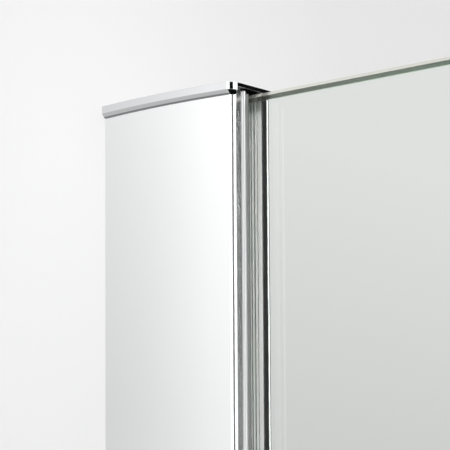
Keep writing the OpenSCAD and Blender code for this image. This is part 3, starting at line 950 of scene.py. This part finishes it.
def makeLockingWashers():
    thick = washerHigh.y - washerLow.y
    hole = lockScrews["shankRadius"]
    first = turnShape([(hole, 0), (washerRadius, 0), (washerRadius, thick), (hole, thick)], ring=True)
    place(first, (lockX, washerLow.y, 0), (-90, 0, 0))
    return finishPiece(atScrewHeights(first), "locking_washers", screws["washerEdge"])


def makeScrewCovers():
    size = screwCover
    low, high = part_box("screw_cover_middle")
    radius = (high.x - low.x) / 2
    tall = high.y - low.y
    hollow = washerRadius + size["rimGap"]
    steps = [(hollow, tall - size["wall"]), (hollow, 0)] + roundOver(radius, 0, tall, size["round"], 6)
    first = place(turnShape(steps), (lockX, low.y, 0), (-90, 0, 0))
    softenEdges(first, size["edge"])
    for name, z in zip(("lower", "upper"), (lockScrews["heights"][0], lockScrews["heights"][2])):
        finishPiece(copyOf(first, (0, 0, z)), "screw_cover_" + name)
    return finishPiece(first, "screw_cover_middle")


# Seal along the pane's lower edge, drawn in section and turned to lie along it

bottomSeal = {
    "wall": 0.9 * mm,
    "blade": 0.8 * mm,
    "bladeOffset": 2.5 * mm,
    "bladeRound": 0.35 * mm,
    "edge": 0.12 * mm,
}


def makeBottomSeal():
    size = bottomSeal
    low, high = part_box("bottom_seal")
    web = lowPane.z - size["wall"]
    half = size["blade"] / 2
    ys = [low.y, low.y + size["wall"], -size["bladeOffset"] - half, -size["bladeOffset"] + half,
          size["bladeOffset"] - half, size["bladeOffset"] + half, high.y - size["wall"], high.y]

    def solid(y, z):
        inLeg = z > lowPane.z and abs(y) > highPane.y
        inWeb = web < z < lowPane.z
        inBlade = z < web and abs(abs(y) - size["bladeOffset"]) < half
        return inLeg or inWeb or inBlade

    piece = drawOut(drawSection(ys, [low.z, web, lowPane.z, high.z], solid), low.x, high.x)
    roundEdges(piece, edgesAt(y=low.z, upright=True), size["bladeRound"], 3)
    return finishPiece(place(piece, turn=(90, 0, 90)), "bottom_seal", size["edge"])


# Clamp on the pane's top edge

clamp = {
    "pad": 1.5 * mm,
    "plate": 1.2 * mm,
    "plateGap": 2.5 * mm,
    "slack": 1 * mm,
    "recess": 1 * mm,
    "screwRadius": 3 * mm,
    "cornerRound": 2 * mm,
    "topRound": 1.2 * mm,
    "plateRound": 1.5 * mm,
    "dimple": 0.3 * mm,        # depth of the plate's seat for the set screw
    "padEdge": 0.2 * mm,
    "plateEdge": 0.15 * mm,
    "edge": 0.3 * mm,
}
hinge = {
    "earThick": 5 * mm,
    "earRadius": 7.5 * mm,
    "eyeThick": 8 * mm,
    "gap": 0.1 * mm,
    "pinRadius": 3 * mm,
    "pinHead": 1.5 * mm,
    "pinTip": 0.4 * mm,
    "pinRound": 0.6 * mm,
    "pinEdge": 0.1 * mm,
    "wallPlay": 0.05 * mm,
    "glassPlay": 0.15 * mm,
}


def pinCentre(node):
    low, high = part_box(node)
    return Vector(((low.x + high.x) / 2, (low.y + high.y) / 2, (low.z + high.z - hinge["pinHead"]) / 2))


glassPin = pinCentre("clamp_hinge_pin")
wallPin = pinCentre("wall_hinge_pin")
barAlong = (wallPin - glassPin).normalized()
barLong = (wallPin - glassPin).length
barTurn = math.degrees(math.atan2(barAlong.y, barAlong.x))


def addEars(centre, root):        # two lugs round a hinge pin, drawn out to their root
    ears = []
    for side in (1, -1):
        inner = hinge["eyeThick"] / 2 + hinge["gap"]
        z = centre.z + side * (inner + hinge["earThick"] / 2)
        half = Vector((0, 0, hinge["earThick"] / 2))
        middle = Vector((centre.x, centre.y, z))
        ears.append(addRoundEnd(hinge["earRadius"], middle - half, middle + half, root, 64))
    return ears


def borePin(piece, centre):        # hole for a hinge pin
    reach = Vector((0, 0, 2 * hinge["eyeThick"]))
    return cutAway(piece, addRod(hinge["pinRadius"], centre - reach, centre + reach))


def makeClampBody():
    size = clamp
    low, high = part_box("clamp_body")
    rearIn = highPane.y + size["pad"] + size["plate"] + size["slack"]
    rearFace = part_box("clamp_set_screw")[1].y + size["recess"]
    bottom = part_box("clamp_pads")[0].z
    piece = addBlock((low.x, low.y, bottom), (high.x, rearFace, high.z))
    roundEdges(piece, edgesAt(upright=True), size["cornerRound"], 5)
    roundEdges(piece, edgesAt(z=high.z), size["topRound"], 4)
    fuse(piece, *addEars(glassPin, (0, rearFace - glassPin.y - mm, 0)))
    slot = addBlock((low.x - mm, lowPane.y - size["pad"], bottom - mm),
                    (high.x + mm, rearIn, highPane.z + size["pad"]))
    cutAway(piece, slot)
    cutAway(piece, addRod(size["screwRadius"], (glassPin.x, rearIn - mm, glassPin.z),
                          (glassPin.x, rearFace + mm, glassPin.z)))
    borePin(piece, glassPin)
    softenEdges(piece, size["edge"], steps=3)
    return finishPiece(piece, "clamp_body")


def makeClampPads():
    low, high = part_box("clamp_pads")
    plateTop = high.z - clamp["plateGap"]
    ys = [low.y, lowPane.y, highPane.y, high.y]

    def solid(y, z):
        inFront = y < lowPane.y
        inRear = y > highPane.y and z < plateTop
        inTop = z > highPane.z and y < highPane.y
        return inFront or inRear or inTop

    piece = drawOut(drawSection(ys, [low.z, plateTop, highPane.z, high.z], solid), low.x, high.x)
    return finishPiece(place(piece, turn=(90, 0, 90)), "clamp_pads", clamp["padEdge"])


def makePressurePlate():
    piece = addBlock(*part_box("clamp_pressure_plate"))
    roundEdges(piece, lambda a, b: near(a.x, b.x) and near(a.z, b.z), clamp["plateRound"], 4)
    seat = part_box("clamp_set_screw")[0].y
    cutAway(piece, addRod(clamp["screwRadius"] / 2, (glassPin.x, seat - clamp["dimple"], glassPin.z),
                          (glassPin.x, seat + mm, glassPin.z), 24))
    return finishPiece(piece, "clamp_pressure_plate", clamp["plateEdge"])


def addGrubScrew(radius, long):        # along +Z, with its socket in the lower end
    steps = threadSteps(radius, 0, long) + [(radius, long)]
    screw = addSocket(turnShape(steps, sides=32), radius, long)
    return place(screw, (0, 0, long), (180, 0, 0))


def makeSetScrew():
    low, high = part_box("clamp_set_screw")
    piece = addGrubScrew(clamp["screwRadius"], high.y - low.y)
    place(piece, (glassPin.x, high.y, glassPin.z), (90, 0, 0))
    return finishPiece(piece, "clamp_set_screw", screws["edge"])


def makeHingePin(node, centre):
    low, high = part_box(node)
    radius = hinge["pinRadius"]
    neck = high.z - hinge["pinHead"] - centre.z
    tip = low.z - centre.z
    steps = [(radius - hinge["pinTip"], tip), (radius, tip + hinge["pinTip"]), (radius, neck)]
    steps += roundOver((high.x - low.x) / 2, neck, high.z - centre.z, hinge["pinRound"])
    return finishPiece(place(turnShape(steps), centre), node, hinge["pinEdge"])


# Brace bar: end fittings with eyes, two tubes, the glide and the locking collar

bar = {
    "tubeWall": 1 * mm,
    "eyeToTube": 14 * mm,
    "flange": 4 * mm,
    "spigot": 18 * mm,
    "neckWide": 12 * mm,
    "neckRound": 1.2 * mm,
    "collarChamfer": 0.8 * mm,        # on the end fitting's collar
    "spigotTaper": 0.6 * mm,
    "tubeChamfer": 0.2 * mm,
    "collar": 24 * mm,
    "collarGroove": 0.35 * mm,
    "collarGrooves": 4 * mm,        # from each groove to the collar's inner step
    "collarRound": (1.2 * mm, 0.9 * mm),        # at the thin tube, and at the thick one
    "collarSeat": 12 * mm,
    "glideShank": 14 * mm,
    "glideHead": 4 * mm,
    "glideGroove": (1.5 * mm, 2.5 * mm),        # the groove's two edges, from under the head
    "glideGrooveDeep": 0.5 * mm,
    "glideChamfer": 0.3 * mm,
    "grubRadius": 2.5 * mm,
    "grubLong": 5 * mm,
    "play": 0.05 * mm,
    "collarSide": 2 * mm,        # from the collar's end at the thick tube to the last ring on its side
    "collarEdge": 0.1 * mm,
    "tubeEdge": 0.08 * mm,
    "edge": 0.2 * mm,
}
tubeStart = bar["eyeToTube"] + bar["flange"]


def halfOf(node, axis="z"):        # half a piece's size: the radius of what lies along the bar
    low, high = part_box(node)
    return (getattr(high, axis) - getattr(low, axis)) / 2


def longOf(node, radius):        # a tube at 45 degrees
    return (2 * halfOf(node, "x") - math.sqrt(2) * radius) * math.sqrt(2)


def alongBar(piece, start=0, fromWall=False, turned=True):        # turned shapes stand on Z, others lie on X
    spot = wallPin - barAlong * start if fromWall else glassPin + barAlong * start
    return place(piece, spot, (0, 90 if turned else 0, barTurn + (180 if fromWall else 0)))


innerRadius = halfOf("bar_inner_tube")
outerRadius = halfOf("bar_outer_tube")
collarRadius = halfOf("bar_collar")
innerLong = longOf("bar_inner_tube", innerRadius)
outerLong = longOf("bar_outer_tube", outerRadius)
outerStart = barLong - tubeStart - outerLong


def grubHole(radius, at):        # from below into a piece that lies on X
    return addRod(bar["grubRadius"], (at, 0, -radius - mm), (at, 0, -radius + 2 * bar["grubRadius"]))


def makeEndFitting(node, radius, play, fromWall):
    size = bar
    half = Vector((0, 0, hinge["eyeThick"] / 2))
    eye = addRod(hinge["earRadius"], -half, half, 64)
    neck = addBlock((0, -size["neckWide"] / 2, -half.z),
                    (size["eyeToTube"] + mm, size["neckWide"] / 2, half.z))
    roundEdges(neck, lambda a, b: not near(a.x, b.x), size["neckRound"], 4)
    spigotRadius = radius - size["tubeWall"]
    spigotEnd = tubeStart + size["spigot"]
    chamfer = size["collarChamfer"]
    seat = turnShape([(radius - chamfer, size["eyeToTube"]), (radius, size["eyeToTube"] + chamfer),
                      (radius, tubeStart), (spigotRadius, tubeStart), (spigotRadius, spigotEnd - mm),
                      (spigotRadius - size["spigotTaper"], spigotEnd)])
    place(seat, turn=(0, 90, 0))
    fuse(eye, neck, seat)
    cutAway(eye, addRod(hinge["pinRadius"] + play, -2 * half, 2 * half),
            grubHole(radius, tubeStart + size["spigot"] / 2))
    softenEdges(eye, size["edge"])
    return finishPiece(alongBar(eye, 0, fromWall, False), node)


def makeTube(node, radius, start, long, fromWall):
    inner = radius - bar["tubeWall"]
    chamfer = bar["tubeChamfer"]
    piece = turnShape([(inner, chamfer), (inner + chamfer, 0), (radius - chamfer, 0), (radius, chamfer),
                       (radius, long - chamfer), (radius - chamfer, long), (inner + chamfer, long),
                       (inner, long - chamfer)], ring=True, sides=96)
    place(piece, turn=(0, 90, 0))
    cutAway(piece, grubHole(radius, bar["spigot"] / 2))
    softenEdges(piece, bar["tubeEdge"])
    return finishPiece(alongBar(piece, start, fromWall, False), node)


def makeGlide():
    size = bar
    head = halfOf("bar_glide")
    shank = innerRadius - size["tubeWall"]
    seat, deep = size["glideShank"], size["glideGrooveDeep"]
    grooveLow, grooveHigh = size["glideGroove"]
    chamfer, slope = size["glideChamfer"], size["tubeChamfer"]
    steps = [(shank - deep, 0), (shank, deep), (shank, seat), (head - chamfer, seat),
             (head, seat + chamfer), (head, seat + grooveLow), (head - deep, seat + grooveLow + slope),
             (head - deep, seat + grooveHigh - slope), (head, seat + grooveHigh),
             (head, seat + size["glideHead"] - chamfer), (head - chamfer, seat + size["glideHead"])]
    piece = alongBar(turnShape(steps), tubeStart + innerLong - seat)
    return finishPiece(piece, "bar_glide", size["tubeEdge"])


def makeCollar():
    size = bar
    seat = size["collar"] - size["collarSeat"]
    bore = innerRadius + size["play"]
    thinRound, thickRound = size["collarRound"]
    rim = roundOver(collarRadius, size["collar"] / 2, size["collar"], thinRound)[1:]
    steps = [(bore, 0)] + [(radius, size["collar"] - height) for radius, height in reversed(rim)]
    groove = size["collarGroove"]
    for middle in (seat - size["collarGrooves"], seat + size["collarGrooves"]):
        steps += [(collarRadius, middle - 2 * groove), (collarRadius - groove, middle - groove),
                  (collarRadius - groove, middle + groove), (collarRadius, middle + 2 * groove)]
    steps += roundOver(collarRadius, size["collar"] - size["collarSide"], size["collar"], thickRound)
    steps += [(outerRadius, size["collar"]), (outerRadius, seat), (bore, seat)]
    piece = place(turnShape(steps, ring=True, sides=96), turn=(0, 90, 0))
    cutAway(piece, addRod(size["grubRadius"], (seat / 2, 0, -collarRadius - mm), (seat / 2, 0, -mm)))
    softenEdges(piece, size["collarEdge"])
    return finishPiece(alongBar(piece, outerStart - seat, False, False), "bar_collar")


def makeBarScrew(node, start, low, high, fromWall=False):        # low and high from the bar's axis
    piece = place(addGrubScrew(bar["grubRadius"], high - low), (0, 0, low))
    return finishPiece(alongBar(piece, start, fromWall, False), node, screws["edge"])


# Wall flange over its base disc

flange = {
    "rim": 2.5 * mm,
    "counterbore": 6.1 * mm,
    "counterboreRadius": 15.1 * mm,
    "holeRadius": 2.75 * mm,
    "sinkRadius": 5.5 * mm,
    "thick": 14 * mm,
    "sideStart": 1.5 * mm,        # from the wall to the ring on the disc's side
    "holeInto": 2 * mm,        # how far the grub screw's hole goes into the counterbore
    "baseEdge": 0.2 * mm,
    "edge": 0.3 * mm,
}


def onWall(x, z=0):        # x out from the wall and z up, at the bar's wall fixing
    return Vector((x, wallPin.y, wallPin.z + z))


def makeWallFlange():
    size = flange
    radius = halfOf("wall_flange")
    steps = [(radius - size["edge"], 0), (radius, size["edge"])]
    steps += roundOver(radius, size["sideStart"], size["thick"], size["rim"], 6)
    piece = place(turnShape(steps, sides=128), onWall(0), (0, 90, 0))
    fuse(piece, *addEars(wallPin, (size["thick"] - mm - wallPin.x, 0, 0)))
    cutAway(piece, addRod(size["counterboreRadius"], onWall(-mm), onWall(size["counterbore"]), 96))
    borePin(piece, wallPin)
    screwX = halfOf("flange_base", "x")
    cutAway(piece, addRod(bar["grubRadius"], onWall(screwX, -radius - mm),
                          onWall(screwX, size["holeInto"] - size["counterboreRadius"])))
    return finishPiece(piece, "wall_flange", size["edge"])


def makeFlangeBase():
    size = flange
    low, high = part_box("flange_base")
    radius = (high.z - low.z) / 2
    thick = high.x - low.x
    sink = thick - (size["sinkRadius"] - size["holeRadius"])
    steps = [(size["holeRadius"], 0), (radius, 0), (radius, thick), (size["sinkRadius"], thick),
             (size["holeRadius"], sink)]
    piece = place(turnShape(steps, ring=True, sides=96), onWall(0), (0, 90, 0))
    return finishPiece(piece, "flange_base", size["baseEdge"])


def makeFlangeScrew():
    low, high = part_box("flange_screw")
    piece = addGrubScrew(bar["grubRadius"], high.z - low.z)
    place(piece, ((low.x + high.x) / 2, wallPin.y, low.z))
    return finishPiece(piece, "flange_screw", screws["edge"])


makeWallProfile()
makeGlassProfile()
makePane()
makeFrontGasket()
makeRearGasket()
makeTopCap()
makeBottomCap()
makeSettingBlocks()
print("screen and caps ready")
makeLockingScrews()
makeLockingWashers()
makeScrewCovers()
makeBottomSeal()
print("fasteners and seal ready")
makeClampBody()
makeClampPads()
makePressurePlate()
makeSetScrew()
makeHingePin("clamp_hinge_pin", glassPin)
makeHingePin("wall_hinge_pin", wallPin)
print("clamp and pins ready")
makeEndFitting("bar_glass_eye", innerRadius, hinge["glassPlay"], False)
makeEndFitting("bar_wall_eye", outerRadius, hinge["wallPlay"], True)
makeTube("bar_inner_tube", innerRadius, tubeStart, innerLong, False)
makeTube("bar_outer_tube", outerRadius, tubeStart, outerLong, True)
makeGlide()
makeCollar()
eyeScrewAt = tubeStart + bar["spigot"] / 2
lowCollarScrew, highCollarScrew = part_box("collar_screw")
makeBarScrew("glass_eye_screw", eyeScrewAt, -innerRadius, bar["grubLong"] - innerRadius)
makeBarScrew("wall_eye_screw", eyeScrewAt, -outerRadius, bar["grubLong"] - outerRadius, True)
makeBarScrew("collar_screw", outerStart - (bar["collar"] - bar["collarSeat"]) / 2,
             lowCollarScrew.z - glassPin.z, highCollarScrew.z - glassPin.z)
makeWallFlange()
makeFlangeBase()
makeFlangeScrew()
print("brace bar and flange ready")


# Studio

studio = {
    "wallColour": (0.92, 0.92, 0.92),
    "wallShown": 0.75,        # share of the wall's brightness that the light doesn't change
    "paintedPoolCentre": (0, -0.025, 0.985),        # of the painted pool of light on the wall: camera rays see it as emission
    "paintedPoolRadius": 0.13,
    "wallNear": 0.955,        # brightness at the pool's centre
    "wallFar": 0.775,        # and outside it
    "floorColour": (0.82, 0.82, 0.81),
    "floorShown": 0.55,        # share of the floor's colour that shows whatever light falls on it
    "roughness": 0.9,        # of floor and wall
    "shine": 0.1,
    "reach": 60.0,
    "wallGap": 0.1 * mm,        # between the wall and the part
    "contact": 0.15 * mm,        # shorter rays pass the wall, so that it doesn't darken the part
    "fill": 0.36,        # strength of the world's light
    "shown": 0.90,        # grey of the background where nothing stands
    "paintedMirrorNear": 0.82,        # painted reflection: the wall beside the part as metal mirrors it and as the pane shows it, an emission painted darker here
    "paintedMirrorFar": 1.12,        # and from mirrorWide away from it, painted brighter
    "mirrorWide": 0.08,
    "paintedMirrorLow": 0.82,        # factor on both from mirrorTall below the top, painted darker lower down
    "mirrorTall": 0.09,
    "glassGlare": 0.3,        # share of the wall that clear glass mirrors: painted dimming of the wall's reflection in the pane, like a polariser's
}


def addMath(tree, operation, first, second):
    return addNode(tree, "ShaderNodeMath", {0: first, 1: second}, operation=operation).outputs["Value"]


def addGlow(tree, strength, colour=(1, 1, 1)):
    return addNode(tree, "ShaderNodeEmission", {"Color": (*colour, 1), "Strength": strength})


def mattFinish(name):
    return startFinish(name, Base_Color=(*studio[name + "Colour"], 1), Roughness=studio["roughness"],
                       Specular_IOR_Level=studio["shine"])


def makeFloor():
    floor = addPlane("floor", 2 * studio["reach"], 2 * studio["reach"], (0, 0, cadLow.z))
    material, tree, shader = mattFinish("floor")
    path = lightPath(tree)
    seen = addMath(tree, "MAXIMUM", path["Is Camera Ray"], path["Is Transmission Ray"])
    share = addMath(tree, "MULTIPLY", seen, studio["floorShown"])
    showAs(tree, mixOver(tree, share, shader, addGlow(tree, 1.0, studio["floorColour"])))
    floor.data.materials.append(material)
    return floor


def makeWall():        # seen from the room's side only
    size = studio
    middle = (-size["wallGap"], 0, cadLow.z + size["reach"])
    wall = addPlane("wall", 2 * size["reach"], 2 * size["reach"], middle, (0, math.pi / 2, 0))
    material, tree, shader = mattFinish("wall")
    path = lightPath(tree)
    spot = addNode(tree, "ShaderNodeTexCoord", {})
    axes = addNode(tree, "ShaderNodeSeparateXYZ", {"Vector": spot.outputs["Object"]})
    # painted reflection: what metal and glass mirror of the wall is an emission graded by place, darker
    # beside the part and lower down, and dimmer in the pane
    away = rampOver(tree, axes.outputs["Y"], 0, -size["mirrorWide"], size["paintedMirrorNear"],
                    size["paintedMirrorFar"])
    lowZ = cadHigh.z - size["mirrorTall"]
    down = rampOver(tree, axes.outputs["Z"], cadHigh.z, lowZ, 1, size["paintedMirrorLow"])
    bounced = addMath(tree, "GREATER_THAN", path["Glossy Depth"], 0.5)
    byGlass = addMath(tree, "MULTIPLY", bounced, path["Is Singular Ray"])
    paintedMirrorLevel = addMath(tree, "MULTIPLY", addMath(tree, "MULTIPLY", away, down),
                    rampOver(tree, byGlass, 0, 1, 1, size["glassGlare"]))
    # painted pool of light: the wall's emission that the camera sees fades from the pool's centre outwards
    pool = addNode(tree, "ShaderNodeVectorMath", {0: spot.outputs["Object"], 1: size["paintedPoolCentre"]},
                   operation="DISTANCE").outputs["Value"]
    paintedPoolGlow = rampOver(tree, pool, 0, size["paintedPoolRadius"], size["wallNear"], size["wallFar"])
    seen = addMath(tree, "MULTIPLY", path["Is Camera Ray"], size["wallShown"])
    mixed = mixOver(tree, seen, shader, addGlow(tree, paintedPoolGlow))
    mixed = mixOver(tree, path["Is Glossy Ray"], mixed, addGlow(tree, paintedMirrorLevel))
    side = addNode(tree, "ShaderNodeNewGeometry", {}).outputs["Backfacing"]
    touching = addMath(tree, "LESS_THAN", path["Ray Length"], size["contact"])
    unseen = addNode(tree, "ShaderNodeBsdfTransparent", {})
    showAs(tree, mixOver(tree, addMath(tree, "MAXIMUM", side, touching), mixed, unseen))
    wall.data.materials.append(material)
    return wall


def makeWorld():
    world = bpy.data.worlds.new("studio")
    bpy.context.scene.world = world
    world.use_nodes = True
    tree = world.node_tree
    light = tree.nodes["Background"]
    light.inputs["Color"].default_value = (1, 1, 1, 1)
    light.inputs["Strength"].default_value = studio["fill"]
    shown = addNode(tree, "ShaderNodeBackground", {"Color": (1, 1, 1, 1), "Strength": studio["shown"]})
    path = lightPath(tree)
    seen = addMath(tree, "MAXIMUM", path["Is Camera Ray"], path["Is Glossy Ray"])
    seen = addMath(tree, "MAXIMUM", seen, path["Is Transmission Ray"])
    showAs(tree, mixOver(tree, seen, light, shown), "World Output")


# places are headings in degrees from +X round the top of the screen; wide and tall in metres
focus = Vector((0.03, 0, 0.99))
lamps = {
    "leftStrip": {"heading": -71, "far": 2.4, "height": 0.6, "wide": 1.5, "tall": 2.4, "strength": 1.35},
    "rightBox": {"heading": 1, "far": 2.6, "height": 0.6, "wide": 3.5, "tall": 2.4, "strength": 1.25},
}
wallLight = {        # spot aimed at the wall beside the part's top
    "heading": -47,
    "far": 1.4,
    "height": 0.35,
    "aim": (0, -0.04, 0.94),
    "power": 36,
    "cone": math.radians(26),
    "blend": 1.0,
    "radius": 0.12,
}
flags = {        # dark cards that show only in reflections
    "gapFlag": {"heading": -40, "far": 2.2, "height": 0.45, "wide": 1.45, "tall": 1.5},
    "rearFlag": {"heading": 54, "far": 2.2, "height": 0.45, "wide": 2.2, "tall": 1.5},
}
floorFlag = {"low": (0.02, -1.4), "high": (2.2, 1.4), "lift": 0.4 * mm}


def standAt(entry):        # centre of an upright panel and its turn towards the focus
    turn = math.radians(entry["heading"])
    away = Vector((math.cos(turn), math.sin(turn), 0)) * entry["far"]
    centre = focus + away + Vector((0, 0, entry["height"]))
    return centre, (focus - centre).to_track_quat("-Z", "Y").to_euler()


def addLamp(name):
    entry = lamps[name]
    centre, turn = standAt(entry)
    bpy.ops.object.light_add(type="AREA", location=centre, rotation=turn)
    lamp = bpy.context.object
    lamp.name = name
    lamp.data.shape = "RECTANGLE"
    lamp.data.size = entry["wide"]
    lamp.data.size_y = entry["tall"]
    lamp.data.energy = entry["strength"] * math.pi * entry["wide"] * entry["tall"]
    lamp.visible_transmission = False        # the lamp itself doesn't show through the pane


def addWallLight():
    size = wallLight
    centre = standAt(size)[0]
    turn = (Vector(size["aim"]) - centre).to_track_quat("-Z", "Y").to_euler()
    bpy.ops.object.light_add(type="SPOT", location=centre, rotation=turn)
    lamp = bpy.context.object
    lamp.name = "wallLight"
    lamp.data.energy = size["power"]
    lamp.data.spot_size = size["cone"]
    lamp.data.spot_blend = size["blend"]
    lamp.data.shadow_soft_size = size["radius"]
    lamp.visible_glossy = False


def addFlag(name, centre, turn, wide, tall):
    flag = addPlane(name, wide, tall, centre, turn)
    flag.data.materials.append(blackCard)
    flag.visible_camera = False
    flag.visible_diffuse = False
    flag.visible_volume_scatter = False
    flag.visible_shadow = False
    return flag


def makeBlackCard():        # behind the pane it shows only in what metal mirrors
    material, tree, shader = startFinish("black card", Base_Color=(0.01, 0.01, 0.01, 1), Roughness=1.0,
                                         Specular_IOR_Level=0.0)
    path = lightPath(tree)
    direct = addMath(tree, "LESS_THAN", path["Glossy Depth"], 0.5)
    through = addMath(tree, "MULTIPLY", direct, path["Is Transmission Ray"])
    showAs(tree, mixOver(tree, through, shader, addNode(tree, "ShaderNodeBsdfTransparent", {})))
    return material


blackCard = makeBlackCard()


camera = {
    "place": (0.82916, -0.95497, 0.70778),
    "turn": 39.814,        # degrees from +Y towards -X
    "tilt": 11.631,
    "roll": -0.347,
    "lens": 381.07,
    "sensor": 36,        # its width; both in mm
    "clip": (0.01, 200),
}


def addCamera():
    turn, tilt, roll = (math.radians(camera[key]) for key in ("turn", "tilt", "roll"))
    aim = (Matrix.Rotation(turn, 3, "Z") @ Matrix.Rotation(math.pi / 2 + tilt, 3, "X")
           @ Matrix.Rotation(roll, 3, "Z"))
    bpy.ops.object.camera_add(location=camera["place"], rotation=aim.to_euler())
    eye = bpy.context.object
    eye.data.lens = camera["lens"]
    eye.data.sensor_width = camera["sensor"]
    eye.data.clip_start, eye.data.clip_end = camera["clip"]
    bpy.context.scene.camera = eye


makeFloor()
makeWall()
for flagName, entry in flags.items():
    addFlag(flagName, *standAt(entry), entry["wide"], entry["tall"])
lowFlag, highFlag = Vector(floorFlag["low"]), Vector(floorFlag["high"])
addFlag("floorFlag", (*((lowFlag + highFlag) / 2), cadLow.z + floorFlag["lift"]), (0, 0, 0),
                 *(highFlag - lowFlag))
makeWorld()
for lampName in lamps:
    addLamp(lampName)
addWallLight()
addCamera()
bpy.context.scene.view_settings.view_transform = "Standard"
print("studio ready")
